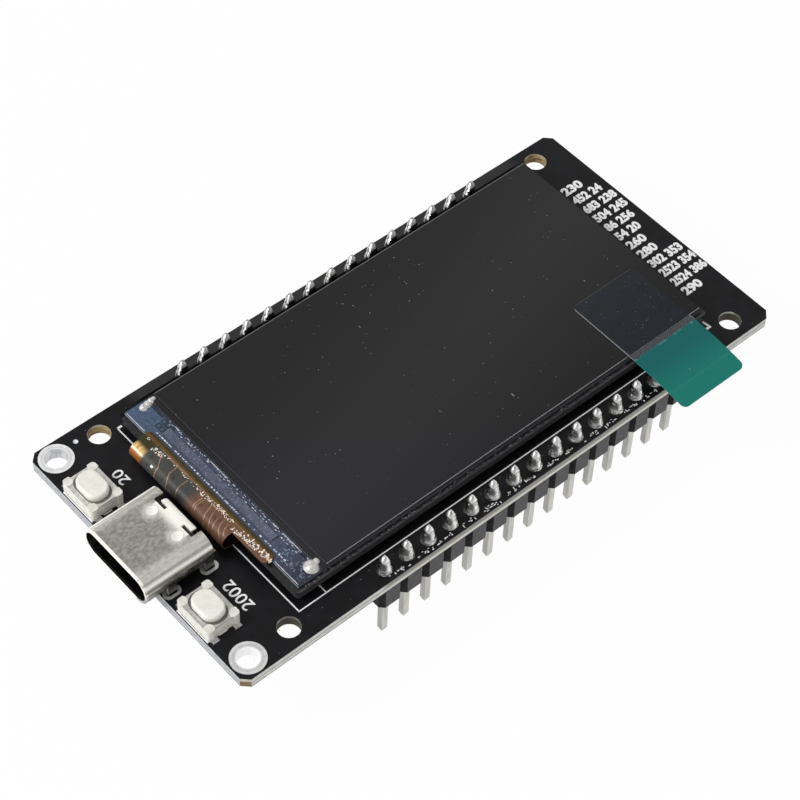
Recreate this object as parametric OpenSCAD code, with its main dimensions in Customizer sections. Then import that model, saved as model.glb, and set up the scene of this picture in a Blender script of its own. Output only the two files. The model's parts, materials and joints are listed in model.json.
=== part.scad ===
// Display development board: a microcontroller board with a small colour display, a USB-C socket,
// two push buttons and two rows of header pins. Sizes are in millimetres.
// The origin is the centre of the four mounting holes, on the board's underside. +X runs from the
// USB end to the far end, and +Z up through the display. Insets are measured from the board's edges.

/* [Circuit board] */
// Length of the board
board_l = 63.8; // [60:0.1:80]
// Width of the board
board_w = 31; // [30:0.1:40]
// Thickness of the board
board_t = 1.2; // [0.8:0.1:2]
// Leg of the chamfer at each corner
board_chamfer = 0.7; // [0.2:0.1:1.5]

/* [Holes] */
// Diameter of the mounting holes
hole_d = 2.2; // [1.6:0.1:2.4]
// Inset of the mounting holes from the USB edge
hole_inset_usb = 6.4; // [5.5:0.1:7]
// Inset of the mounting holes from the far edge
hole_inset_far = 3.6; // [2:0.1:4]
// Inset of the mounting holes from the side edges
hole_inset_side = 2; // [1.5:0.1:2.2]
// Bore of the plated corner holes
plated_d = 2.2; // [1.6:0.1:2.4]
// Outer diameter of the plated rings
plated_ring_d = 3.3; // [2.8:0.1:3.5]
// Inset of the plated corner holes from the USB edge and the side edges
plated_inset = 1.8; // [1.7:0.1:2]
// Thickness of the plating, on the faces and in the holes
plating_t = 0.06; // [0.03:0.01:0.1]

/* [Display] */
// Length of the display's frame
display_l = 49.7; // [40:0.1:51]
// Width of the display's frame
display_w = 25.4; // [24:0.1:25.6]
// Inset of the frame from the USB edge
display_inset = 8.45; // [8.4:0.05:12]
// Sideways place of the display's middle
display_shift = 0.5; // [-0.5:0.1:0.5]
// Thickness of the foam tape under the display
tape_t = 0.7; // [0.5:0.05:1.2]
// Width of the frame's side walls
frame_wall = 0.6; // [0.5:0.05:1]
// Inset of the glass from the frame's outside
glass_inset = 0.4; // [0.2:0.05:0.6]
// Thickness of each sheet of glass
glass_t = 0.2; // [0.15:0.01:0.5]
// Length of the ledge where the rear glass shows
ledge_l = 2.65; // [2.4:0.05:4]
// Thickness of each polariser
polariser_t = 0.12; // [0.08:0.01:0.2]
// Width of glass left bare round the front polariser
polariser_inset = 0.15; // [0.05:0.05:0.4]
// Width of glass left bare beside the ledge
polariser_ledge_inset = 0.6; // [0.2:0.05:1]
// Thickness of the protective film
film_t = 0.06; // [0.04:0.01:0.1]
// Thickness of the reflector sheet
reflector_t = 0.08; // [0.05:0.01:0.15]
// Thickness of the light guide
guide_t = 0.45; // [0.4:0.05:0.8]
// Thickness of the stack of diffuser and prism films
films_t = 0.22; // [0.15:0.01:0.3]
// Thickness of the black rim tape under the glass
rim_tape_t = 0.05; // [0.03:0.01:0.1]
// Width of the rim tape
rim_tape_w = 1.1; // [0.8:0.1:1.5]
// Number of backlight lamps
lamp_count = 3; // [2:1:5]
// Length of a backlight lamp
lamp_l = 2; // [1.5:0.1:3]
// Depth of a backlight lamp
lamp_d = 0.65; // [0.5:0.05:0.8]
// Length of the driver chip
driver_l = 15.3; // [12:0.1:18]
// Width of the driver chip
driver_w = 0.85; // [0.6:0.05:1]
// Height of the driver chip
driver_h = 0.17; // [0.1:0.01:0.3]

/* [Display flex] */
// Thickness of the flex
flex_t = 0.12; // [0.08:0.01:0.2]
// Width of the flex where it is bonded to the glass
flex_bond_w = 17.9; // [15:0.1:20]
// How far the bond reaches onto the ledge
flex_bond_l = 0.55; // [0.4:0.05:0.8]
// Width of the folded tail
flex_tail_w = 13.3; // [11:0.1:16]
// How far the tail stands out before it folds
flex_reach = 0.7; // [0.6:0.05:1]
// Length of the tail under the display
flex_run = 12; // [8:0.5:20]
// Number of soldered conductors at the tail's end
flex_ways = 12; // [8:1:14]
// Pitch of the soldered conductors
flex_pitch = 0.8; // [0.5:0.1:0.9]
// Thickness of the solder under the tail's end
flex_solder_t = 0.1; // [0.06:0.01:0.2]

/* [Pull tab] */
// Width of the tab
tab_w = 7.9; // [5:0.1:10]
// Length of the tab
tab_l = 15; // [10:0.5:20]
// How far the tab overhangs the film's edge
tab_overhang = 7.4; // [4:0.1:9]
// Inset of the tab from the display's far end
tab_inset = 1.95; // [1:0.05:30]
// Thickness of the tab's clear film
tab_t = 0.05; // [0.03:0.01:0.1]
// Thickness of the green liner under the tab
liner_t = 0.06; // [0.03:0.01:0.1]
// Length of the green liner
liner_l = 6.65; // [4:0.05:7]
// Radius to which the free end droops
tab_bend_r = 40; // [30:1:200]
// Radius of the tab's corners
tab_corner_r = 0.6; // [0.3:0.1:2]

/* [USB socket] */
// Width of the shell
usb_w = 8.94; // [8.5:0.01:10.8]
// Height of the shell
usb_h = 3.2; // [3:0.05:4]
// Length of the shell
usb_l = 7.3; // [6.9:0.05:8]
// Thickness of the shell's sheet
usb_wall = 0.3; // [0.2:0.01:0.36]
// How far the shell stands out over the board's edge
usb_overhang = 1.75; // [0.5:0.05:2]
// Width of the tongue
tongue_w = 6.7; // [6:0.05:6.8]
// Thickness of the tongue
tongue_t = 0.7; // [0.6:0.05:0.9]
// Depth of the tongue's tip behind the mouth
tongue_inset = 0.9; // [0.5:0.05:1.5]
// Width of each leg
leg_w = 0.9; // [0.6:0.05:1]
// Place of the front legs behind the mouth
leg_front = 2.7; // [2.7:0.05:3.2]
// Distance from the front legs to the rear legs
leg_pitch = 4.05; // [3.8:0.05:4.1]
// How far the legs stand out under the board
leg_out = 0.5; // [0.2:0.05:1]

/* [Buttons] */
// Size of a button along the board
button_l = 3.5; // [3.3:0.05:4.2]
// Size of a button across the board
button_w = 4.5; // [4.3:0.05:5]
// Inset of the buttons from the USB edge
button_inset = 0.15; // [0.05:0.05:0.3]
// Gap between the USB socket and each button
button_gap = 1.5; // [1.2:0.05:1.6]
// Height of the corner posts
post_h = 1.45; // [1.4:0.05:1.8]
// Size of each corner post
post_w = 0.75; // [0.6:0.05:0.8]
// Height of the steel cover
cover_h = 1.35; // [1.3:0.05:1.6]
// Thickness of the steel cover
cover_t = 0.12; // [0.1:0.01:0.15]
// Height of the plunger's top
plunger_h = 2; // [1.9:0.05:2.5]
// Plunger's size along the board
plunger_l = 2.3; // [1.9:0.05:2.4]
// Plunger's size across the board
plunger_w = 3.2; // [2.6:0.05:3.25]
// Radius of the plunger's corners
plunger_r = 1.05; // [0.5:0.05:1.1]
// Travel of the plunger
plunger_travel = 0.25; // [0.15:0.05:0.25]
// Diameter of the snap dome
dome_d = 2.1; // [1.8:0.05:2.2]
// Height of the snap dome
dome_h = 0.32; // [0.28:0.02:0.34]
// Thickness of the snap dome
dome_t = 0.06; // [0.04:0.01:0.08]

/* [Pin headers] */
// Number of pins in a row
pin_count = 15; // [4:1:15]
// Pitch of the pins
pin_pitch = 2.54; // [2:0.01:3.05]
// Inset of the first pin from the USB edge
pin_inset = 16.5; // [12:0.1:17]
// Inset of the rows from the side edges
row_inset = 1.3; // [1.27:0.01:1.4]
// Width of the square pins
pin_w = 0.64; // [0.5:0.01:0.66]
// Height of the pins over the board
pin_above = 1.9; // [1.5:0.05:2]
// Length of the pins under the plastic strip
pin_below = 5.6; // [5:0.1:12]
// Length of the tapered pin ends
pin_taper = 0.45; // [0.2:0.05:0.8]
// Width of the pin ends
pin_tip = 0.32; // [0.2:0.01:0.5]
// Width of the plastic strip
strip_w = 2.5; // [2.2:0.02:2.54]
// Height of the plastic strip
strip_h = 2.54; // [2:0.02:3]
// Chamfer at the waist between two ways of the strip
strip_chamfer = 0.45; // [0.2:0.05:0.6]
// Diameter of a solder joint at the board
solder_d = 1.5; // [1.3:0.05:1.7]
// Height of a solder joint
solder_h = 1; // [0.6:0.05:1.35]

/* [Radio module] */
// Length of the module
module_l = 25.5; // [24:0.1:26]
// Width of the module
module_w = 18; // [16:0.1:20]
// Thickness of the module's board
module_t = 0.8; // [0.6:0.1:1]
// Inset of the module from the far edge
module_inset = 0.3; // [0:0.1:1]
// Length of the antenna end
antenna_l = 6.2; // [5:0.1:7]
// Length of the shield
shield_l = 17.4; // [16:0.1:18]
// Width of the shield
shield_w = 15.8; // [14:0.1:16]
// Height of the shield
shield_h = 2.3; // [1.5:0.1:3]
// Thickness of the shield's sheet
shield_t = 0.2; // [0.1:0.05:0.3]
// Pitch of the module's edge pads
pad_pitch = 1.27; // [1:0.01:1.27]
// Radius of the module's edge pads
pad_r = 0.4; // [0.3:0.02:0.45]

/* [Underside parts] */
// Length of the serial chip's body
serial_l = 9.9; // [8:0.1:10]
// Width of the serial chip's body
serial_w = 3.9; // [3.5:0.1:4]
// Height of the serial chip's body
serial_h = 1.5; // [1.3:0.1:1.8]
// Length of the regulator's body
regulator_l = 6.5; // [6:0.1:7]
// Width of the regulator's body
regulator_w = 3.5; // [3.3:0.1:3.7]
// Height of the regulator's body
regulator_h = 1.6; // [1.4:0.1:1.8]
// Length of a transistor's body
transistor_l = 2.9; // [2.6:0.1:3]
// Width of a transistor's body
transistor_w = 1.3; // [1.2:0.1:1.4]
// Height of a transistor's body
transistor_h = 1; // [0.8:0.1:1.2]
// Length of the diode's body
diode_l = 4.3; // [4:0.1:4.6]
// Width of the diode's body
diode_w = 2.6; // [2.3:0.1:2.8]
// Height of the diode's body
diode_h = 2.1; // [1.8:0.1:2.4]
// Length, width and height of a chip capacitor
capacitor = [2, 1.25, 0.9]; // [0.8:0.05:2.2]
// Length, width and height of a chip resistor
resistor = [1.6, 0.8, 0.5]; // [0.3:0.05:2]
// Length, width and height of the power lamp
power_lamp = [1.6, 0.8, 0.6]; // [0.3:0.05:2]

/* [Clearances] */
// Gap round parts that are pushed or soldered into a hole
fit = 0.02; // [0.01:0.01:0.05]
// Gap round the legs and pegs in the board
slot_fit = 0.12; // [0.08:0.02:0.15]
// Gap between a pin's corners and its hole
pin_fit = 0.05; // [0.04:0.01:0.1]
// Gap round the moving plungers
slide_fit = 0.06; // [0.04:0.01:0.08]

/* [Hidden] */
$fn = 64;

// How far a cut runs past the surface that it opens
past = 0.5;
// How far two shapes of one piece reach into each other
lap = 0.05;

// Places on the board
hole_pitch_x = board_l - hole_inset_usb - hole_inset_far;
usb_edge_x = -hole_inset_usb - hole_pitch_x / 2;
hole_y = board_w / 2 - hole_inset_side;
plated_y = board_w / 2 - plated_inset;
row_y = board_w / 2 - row_inset;
button_x = button_inset + button_l / 2;
button_y = usb_w / 2 + button_gap + button_w / 2;

// Levels in the display, from the underside of its frame
frame_h = reflector_t + guide_t + films_t;
polariser_z = frame_h + rim_tape_t;
rear_glass_z = polariser_z + polariser_t;
front_glass_z = rear_glass_z + glass_t;
front_polariser_z = front_glass_z + glass_t;
film_z = front_polariser_z + polariser_t;
tab_z = film_z + film_t;

// Places in the display, from the frame's USB end and its middle line
glass_w = display_w - 2 * glass_inset;
glass_far = display_l - glass_inset;
front_glass_x = glass_inset + ledge_l;
front_polariser_x = front_glass_x + polariser_ledge_inset;
frame_bar = front_glass_x - 0.4;
frame_corner_r = 0.4;
lamp_strip_w = 1.3;
lamp_strip_inset = 1.1;
lamp_strip_l = display_w - 2 * (frame_wall + lamp_strip_inset);
lamp_pitch = 7;
lamp_h = guide_t - 2 * fit;
stack_gap = 0.05;
rear_polariser_inset = 0.2;
tape_inset = 1;
tape_flex_gap = 1;
film_edge = glass_w / 2 - polariser_inset;
driver_x = glass_inset + 1.15;
driver_shift = 0.55;
tab_flats = 8;
// The tab starts to droop where it still clears the near row of pins
pins_reach = row_y + pin_w / 2 + display_shift - film_edge;
tab_room = max(0, tape_t + tab_z - liner_t - pin_above - stack_gap);
tab_droop_x = max(0, pins_reach - sqrt(tab_room * (2 * tab_bend_r - tab_room)));
// Paste drops: place from the front glass's edge, inset from the near (+) or far (-) side, radius, height
paste_drops = [
    [-0.45, 0.9, 0.75, 0.42], [0.15, 1, 0.42, 0.34],
    [-0.95, -0.62, 0.42, 0.3], [-0.45, -0.55, 0.4, 0.32], [0, -0.48, 0.36, 0.34], [0.3, -0.44, 0.28, 0.3]
];

// Flex: the bond and the tail lie a little off the display's middle line
bond_shift = 0.25;
tail_shift = 2.35;
bond_corner_r = 0.5;
flex_low = flex_solder_t - tape_t;
flex_bend_r = (front_glass_z + flex_t - flex_low) / 2;
shoulder_reach = 0.45;
flex_taper_x = 6;
flex_end_w = flex_ways * flex_pitch + 0.6;
flex_pad_l = 1.6;
flex_pad_w = 0.45;

// USB socket: the top's rear edge is cut into a flap that is bent down over the moulding
leg_y = usb_w / 2 - usb_wall / 2;
leg_l = [leg_front, leg_front + leg_pitch];
leg_slot_l = leg_w + 2 * slot_fit;
leg_slot_w = usb_wall + 2 * slot_fit;
leg_pad_l = 1.8;
leg_pad_w = 1.1;
leg_tip_w = leg_w - 0.3;
leg_solder_sunk = 0.4;
leg_solder_out = 0.2;
flap_cut_x = usb_l - 1.05;
flap_cut_w = 5.3;
flap_neck_w = 2.3;
flap_head_w = 4.2;
flap_head_x = flap_cut_x + 0.45;
flap_bend_r = 0.8;
flap_corner_r = 0.5;
flap_drop = 1.3;
floor_cut_x = usb_l - 2.3;
floor_cut_w = 7.2;
floor_cut_h = 0.6;
dimple_x = 5.35;
dimple_y = 1.78;
dimple_r = 1;
dimple_depth = 0.16;
moulding_front = usb_l - 2;
moulding_rear = flap_head_x;
moulding_foot = usb_l + 0.4;
foot_w = 7;
foot_h = 0.9;
tongue_root_l = 1;
tongue_root_t = 1.1;
tongue_root_w = 7.2;
tongue_corner_r = 0.5;
peg_d = 0.5;
peg_l = 0.9;
peg_x = usb_l - 1.6;
peg_y = 2.89;
blade_y = [-2.75, -1.25, -0.75, -0.25, 0.25, 0.75, 1.25, 2.75];
blade_w = 0.25;
blade_t = 0.08;
blade_l = 3.4;
blade_inset = 0.2;
tail_y = [-3.2, -2.4, -1.75, -1.25, -0.75, -0.25, 0.25, 0.75, 1.25, 1.75, 2.4, 3.2];
tail_w = 0.3;
tail_t = 0.15;
tail_out = 0.55;
tail_in = 0.5;

// Buttons, from the board's top face
wall_inset = 0.15;
front_inset = 0.06;
post_r = 0.3;
head_lap = 0.1;
cavity_floor = 0.4;
cover_under = cover_h - cover_t;
flange_t = 0.2;
flange_ear = 0.2;
flange_top = cover_under - fit;
cavity_l = max(plunger_l, dome_d) + 2 * slide_fit;
cavity_w = plunger_w + 2 * (flange_ear + slide_fit);
corner_r = min(plunger_r, plunger_l / 2 - lap);
crown_h = 0.25;
crown_inset = 0.18;
nub_d = 0.8;
nub_bottom = cavity_floor + dome_h + fit;
dome_r = (pow(dome_d / 2, 2) + pow(dome_h, 2)) / (2 * dome_h);
terminal_w = 0.7;
terminal_t = 0.15;
terminal_out = 0.4;
terminal_in = 0.5;
terminal_x = button_l / 2 - 0.55;

// Solder joints: a hollow cone from a foot up to a neck round the pin, upright at the top
solder_foot = 0.1;
pin_hole_d = sqrt(2) * pin_w + 2 * pin_fit;
solder_neck_r = pin_hole_d / 2;
solder_spread = solder_d / 2 - solder_neck_r;
solder_rise = solder_h - solder_foot;
solder_curve_r = (pow(solder_spread, 2) + pow(solder_rise, 2)) / (2 * solder_spread);

// Radio module
module_x = board_l - module_inset - module_l / 2;
module_pads_side = 14;
module_pads_end = 10;
pad_start = 1.5;
shield_x = -module_l / 2 + 0.9 + shield_l / 2;
shield_corner_r = 0.8;
antenna_t = 0.05;
antenna_line = 0.5;
antenna_turns = 5;
antenna_pitch = 1.3;
antenna_deep = 3.6;
processor_size = [5, 5, 0.85];
memory_size = [6, 5, 0.75];
crystal_size = [3.2, 2.5, 0.7];

// Underside parts: places from the USB edge and the middle line, and a turn about Z
lead_t = 0.2;
stand_off = 0.1;
draft = 0.15;
serial_at = [14, 0, 90];
serial_pitch = 1.27;
regulator_at = [23.5, -6, 90];
regulator_pitch = 2.3;
transistor_at = [[23.5, 3.5, 90], [23.5, 8, 90]];
diode_at = [8.6, -9, 0];
capacitor_at = [
    [30.5, -9.5, 0], [30.5, -6.5, 0], [30.5, -3.5, 0], [35, -5, 90], [35, 5, 90], [8.6, 8.5, 0]
];
resistor_at = [
    [30, 0, 0], [30, 2, 0], [30, 4, 0], [30, 6, 0], [30, 8, 0], [19.5, 8.5, 90], [19.5, 5.5, 90]
];
lamp_at = [12.6, 9.5, 90];
cap_l = 0.3;
cap_grow = 0.02;

// Shapes that repeat
module box_between(low, high) {
    translate(low) cube(high - low);
}

module stadium(length, height) {
    square([length - height, height], center = true);
    for (side = [-1, 1])
        translate([side * (length - height) / 2, 0]) circle(d = height);
}

module rounded_rect(length, width, radius) {
    square([length - 2 * radius, width], center = true);
    square([length, width - 2 * radius], center = true);
    for (x = [-1, 1], y = [-1, 1])
        translate([x * (length / 2 - radius), y * (width / 2 - radius)]) circle(radius);
}

module chamfered_rect(length, width, leg) {
    x = length / 2;
    y = width / 2;
    polygon([
        [leg - x, -y], [x - leg, -y], [x, leg - y], [x, y - leg],
        [x - leg, y], [leg - x, y], [-x, y - leg], [-x, leg - y]
    ]);
}

// A profile drawn in the Y-Z plane and drawn out along X from zero
module along_x(length) {
    rotate([90, 0, 90]) linear_extrude(length) children();
}

// A profile drawn in the X-Z plane and drawn out evenly to both sides along Y
module across_y(width) {
    rotate([90, 0, 0]) linear_extrude(width, center = true) children();
}

module on_board(x, y) {
    translate([usb_edge_x + x, y, board_t]) children();
}

module under_board(place) {
    translate([usb_edge_x + place[0], place[1], 0])
        mirror([0, 0, 1]) rotate(place[2]) children();
}

module in_display() {
    on_board(display_inset, display_shift) translate([0, 0, tape_t]) children();
}

module in_usb() {
    on_board(-usb_overhang, 0) children();
}

module at_button(side) {
    on_board(button_x, side * button_y) children();
}

module at_pins(side) {
    for (i = [0 : pin_count - 1])
        translate([usb_edge_x + pin_inset + i * pin_pitch, side * row_y, 0]) children();
}

module at_legs() {
    for (x = leg_l, side = [-1, 1])
        translate([x - usb_overhang + usb_edge_x, side * leg_y, 0]) children();
}

// Circuit board
module circuit_board() {
    color([0.11, 0.11, 0.12])
    linear_extrude(board_t)
    difference() {
        translate([usb_edge_x + board_l / 2, 0]) chamfered_rect(board_l, board_w, board_chamfer);
        for (x = [-1, 1], y = [-1, 1])
            translate([x * hole_pitch_x / 2, y * hole_y]) circle(d = hole_d);
        for (y = [-1, 1])
            translate([usb_edge_x + plated_inset, y * plated_y]) circle(d = plated_d + 2 * plating_t);
        for (side = [-1, 1]) at_pins(side) circle(d = pin_hole_d);
        at_legs() stadium(leg_slot_l + 2 * plating_t, leg_slot_w + 2 * plating_t);
        for (side = [-1, 1])
            translate([usb_edge_x + peg_x - usb_overhang, side * peg_y]) circle(d = peg_d + 2 * slot_fit);
    }
}

module corner_hole_plating() {
    color([0.8, 0.8, 0.8])
    for (side = [-1, 1])
        translate([usb_edge_x + plated_inset, side * plated_y, 0])
        difference() {
            union() {
                for (z = [-plating_t, board_t])
                    translate([0, 0, z]) cylinder(d = plated_ring_d, h = plating_t);
                translate([0, 0, -plating_t])
                    cylinder(d = plated_d + 2 * plating_t, h = board_t + 2 * plating_t);
            }
            translate([0, 0, -past]) cylinder(d = plated_d, h = board_t + 2 * past);
        }
}

module usb_slot_plating() {
    color([0.75, 0.75, 0.74])
    at_legs() difference() {
        union() {
            for (z = [-plating_t, board_t])
                translate([0, 0, z]) linear_extrude(plating_t) stadium(leg_pad_l, leg_pad_w);
            translate([0, 0, -plating_t]) linear_extrude(board_t + 2 * plating_t)
                stadium(leg_slot_l + 2 * plating_t, leg_slot_w + 2 * plating_t);
        }
        translate([0, 0, -past]) linear_extrude(board_t + 2 * past) stadium(leg_slot_l, leg_slot_w);
    }
}

// Display
module display_tape() {
    flex_side = flex_tail_w / 2 + tape_flex_gap;
    color([0.2, 0.2, 0.2])
    in_display() translate([0, 0, -tape_t]) difference() {
        box_between([tape_inset, tape_inset - display_w / 2, 0],
            [display_l - tape_inset, display_w / 2 - tape_inset, tape_t]);
        box_between([0, tail_shift - flex_side, -past],
            [flex_run + tape_flex_gap, tail_shift + flex_side, tape_t + past]);
    }
}

module at_lamps() {
    for (i = [0 : lamp_count - 1])
        translate([frame_bar, (i - (lamp_count - 1) / 2) * lamp_pitch, 0]) children();
}

module backlight_frame() {
    side = display_w / 2 - frame_wall;
    color([0.16, 0.16, 0.17])
    in_display() difference() {
        union() {
            translate([display_l / 2, 0, 0]) linear_extrude(frame_h)
                rounded_rect(display_l, display_w, frame_corner_r);
            box_between([glass_inset, -glass_w / 2, 0], [frame_bar, glass_w / 2, rear_glass_z]);
        }
        box_between([frame_bar, -side, -past], [display_l - frame_wall, side, rear_glass_z + past]);
        box_between([frame_bar - lamp_strip_w - fit, -lamp_strip_l / 2 - fit, -past],
            [frame_bar + past, lamp_strip_l / 2 + fit, reflector_t]);
        at_lamps() box_between([-lamp_d - fit, -lamp_l / 2 - fit, 0],
            [past, lamp_l / 2 + fit, reflector_t + guide_t]);
    }
}

// One of the sheets that lie in the frame's window
module window_sheet(low, high) {
    side = display_w / 2 - frame_wall - stack_gap;
    in_display() box_between([frame_bar + stack_gap, -side, low],
        [display_l - frame_wall - stack_gap, side, high]);
}

module backlight_reflector() {
    color([0.9, 0.9, 0.9]) window_sheet(0, reflector_t);
}

module light_guide() {
    color([0.85, 0.9, 0.92]) window_sheet(reflector_t, reflector_t + guide_t);
}

module backlight_films() {
    color([0.88, 0.88, 0.9]) window_sheet(reflector_t + guide_t, frame_h);
}

module backlight_lamps() {
    color([0.9, 0.85, 0.5])
    in_display() {
        box_between([frame_bar - lamp_strip_w, -lamp_strip_l / 2, 0],
            [frame_bar, lamp_strip_l / 2, reflector_t]);
        at_lamps() box_between([-lamp_d, -lamp_l / 2, reflector_t - lap],
            [0, lamp_l / 2, reflector_t + lamp_h]);
    }
}

module rim_tape() {
    color([0.08, 0.08, 0.08])
    in_display() difference() {
        box_between([frame_bar, -glass_w / 2, frame_h], [glass_far, glass_w / 2, polariser_z]);
        box_between([frame_bar + rim_tape_w, rim_tape_w - glass_w / 2, 0],
            [glass_far - rim_tape_w, glass_w / 2 - rim_tape_w, polariser_z + past]);
    }
}

module rear_polariser() {
    side = glass_w / 2 - rear_polariser_inset;
    color([0.25, 0.25, 0.28])
    in_display() box_between([frame_bar + stack_gap, -side, polariser_z],
        [glass_far - rear_polariser_inset, side, rear_glass_z]);
}

module rear_glass() {
    color([0.35, 0.42, 0.5])
    in_display() box_between([glass_inset, -glass_w / 2, rear_glass_z],
        [glass_far, glass_w / 2, front_glass_z]);
}

module front_glass() {
    color([0.12, 0.12, 0.13])
    in_display() box_between([front_glass_x, -glass_w / 2, front_glass_z],
        [glass_far, glass_w / 2, front_polariser_z]);
}

// The polariser and its film cover the front glass up to a narrow bare rim
module front_sheet(low, high) {
    in_display() box_between([front_polariser_x, -film_edge, low],
        [glass_far - polariser_inset, film_edge, high]);
}

module front_polariser() {
    color([0.15, 0.15, 0.16]) front_sheet(front_polariser_z, film_z);
}

module protective_film() {
    color([0.2, 0.2, 0.22]) front_sheet(film_z, tab_z);
}

module driver_chip() {
    color([0.45, 0.46, 0.52])
    in_display() translate([driver_x, driver_shift - driver_l / 2, front_glass_z])
        cube([driver_w, driver_l, driver_h]);
}

// The tail's side view: out from the ledge, half a turn down, and back under the display
module flex_fold() {
    middle = front_glass_z + flex_t - flex_bend_r;
    difference() {
        union() {
            translate([-flex_reach, middle]) circle(flex_bend_r);
            translate([-flex_reach, middle - flex_bend_r])
                square([flex_taper_x + flex_reach, 2 * flex_bend_r]);
        }
        translate([-flex_reach, middle]) circle(flex_bend_r - flex_t);
        translate([-flex_reach, middle - flex_bend_r + flex_t])
            square([flex_taper_x + flex_reach + past, 2 * (flex_bend_r - flex_t)]);
        translate([0, middle]) square([flex_taper_x + past, flex_bend_r + past]);
    }
}

module display_flex() {
    bond_end = glass_inset + flex_bond_l;
    color([0.32, 0.2, 0.1])
    in_display() {
        translate([(bond_end - shoulder_reach) / 2, bond_shift, front_glass_z]) linear_extrude(flex_t)
            rounded_rect(bond_end + shoulder_reach, flex_bond_w, bond_corner_r);
        translate([0, tail_shift, 0]) across_y(flex_tail_w) flex_fold();
        translate([0, tail_shift, flex_low]) linear_extrude(flex_t) polygon([
            [flex_taper_x - lap, -flex_tail_w / 2], [flex_taper_x, -flex_tail_w / 2],
            [flex_run - 2 * flex_pad_l, -flex_end_w / 2], [flex_run, -flex_end_w / 2],
            [flex_run, flex_end_w / 2], [flex_run - 2 * flex_pad_l, flex_end_w / 2],
            [flex_taper_x, flex_tail_w / 2], [flex_taper_x - lap, flex_tail_w / 2]
        ]);
    }
}

module flex_solder() {
    color([0.7, 0.7, 0.7])
    in_display() translate([flex_run - flex_pad_l - lap, tail_shift - flex_pad_w / 2, -tape_t])
        for (i = [0 : flex_ways - 1])
            translate([0, (i - (flex_ways - 1) / 2) * flex_pitch, 0])
                cube([flex_pad_l, flex_pad_w, flex_solder_t]);
}

// A drop of paste that stands on the ledge, given by its radius and height
module paste_drop(radius, height) {
    sphere_r = (radius * radius + height * height) / (2 * height);
    intersection() {
        translate([0, 0, height - sphere_r]) sphere(sphere_r);
        translate([-radius, -radius, 0]) cube([2 * radius, 2 * radius, height]);
    }
}

module silver_paste() {
    color([0.8, 0.79, 0.76])
    in_display() difference() {
        for (drop = paste_drops)
            translate([front_glass_x + drop[0], drop[1] > 0 ? drop[1] - glass_w / 2 : drop[1] + glass_w / 2,
                front_glass_z]) paste_drop(drop[2], drop[3]);
        box_between([front_glass_x, -glass_w / 2, 0], [glass_far, glass_w / 2, front_polariser_z]);
    }
}

// Side view of the tab, flat on the film and drooping in short flats at its free end
module tab_band(inner_r, outer_r, flat_l) {
    end = asin((tab_overhang - tab_droop_x) / tab_bend_r) + 1;
    down = [for (i = [0 : tab_flats]) end * i / tab_flats];
    up = [for (i = [0 : tab_flats]) end * (1 - i / tab_flats)];
    translate([-film_edge - tab_droop_x, tab_z - tab_bend_r]) polygon(concat(
        [[flat_l + tab_droop_x, outer_r]], [for (a = down) [-outer_r * sin(a), outer_r * cos(a)]],
        [for (a = up) [-inner_r * sin(a), inner_r * cos(a)]], [[flat_l + tab_droop_x, inner_r]]
    ));
}

// Plan of the tab, from its middle at the film's edge
module tab_plan() {
    translate([0, tab_l / 2 - tab_overhang]) rounded_rect(tab_w, tab_l, tab_corner_r);
}

module in_tab() {
    in_display() translate([display_l - tab_inset - tab_w / 2, 0, 0]) children();
}

module pull_tab() {
    color([0.2, 0.24, 0.28, 0.6])
    in_tab() intersection() {
        translate([-tab_w / 2, 0, 0]) along_x(tab_w)
            tab_band(tab_bend_r, tab_bend_r + tab_t, tab_l - tab_overhang);
        translate([0, -film_edge, 0]) linear_extrude(tab_z + past) tab_plan();
    }
}

module pull_tab_liner() {
    color([0.1, 0.42, 0.38])
    in_tab() intersection() {
        translate([-tab_w / 2, 0, 0]) along_x(tab_w) tab_band(tab_bend_r - liner_t, tab_bend_r, lap);
        translate([0, -film_edge, 0]) linear_extrude(tab_z + past) intersection() {
            tab_plan();
            translate([-tab_w, -tab_overhang]) square([2 * tab_w, liner_l]);
        }
    }
}

// USB socket
module usb_flap() {
    translate([flap_cut_x - lap, -flap_neck_w / 2, usb_h - usb_wall])
        cube([flap_head_x - flap_cut_x + 2 * lap, flap_neck_w, usb_wall]);
    intersection() {
        translate([flap_head_x, 0, usb_h - flap_bend_r]) across_y(flap_head_w) {
            intersection() {
                difference() {
                    circle(flap_bend_r);
                    circle(flap_bend_r - usb_wall);
                }
                square(flap_bend_r);
            }
            translate([flap_bend_r - usb_wall, flap_bend_r - flap_drop])
                square([usb_wall, flap_drop - flap_bend_r + lap]);
            translate([-lap, flap_bend_r - usb_wall]) square([2 * lap, usb_wall]);
        }
        translate([flap_head_x, 0, 0]) linear_extrude(usb_h)
            rounded_rect(2 * flap_bend_r, flap_head_w, flap_corner_r);
    }
}

module usb_leg() {
    low = -board_t - leg_out;
    taper = leg_out / 2;
    across_y(usb_wall) polygon([
        [-leg_w / 2, usb_h / 2], [-leg_w / 2, low + taper], [-leg_tip_w / 2, low],
        [leg_tip_w / 2, low], [leg_w / 2, low + taper], [leg_w / 2, usb_h / 2]
    ]);
}

module dimple_centres() {
    for (side = [-1, 1])
        translate([dimple_x, side * dimple_y, usb_h + dimple_r - dimple_depth]) children();
}

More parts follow.
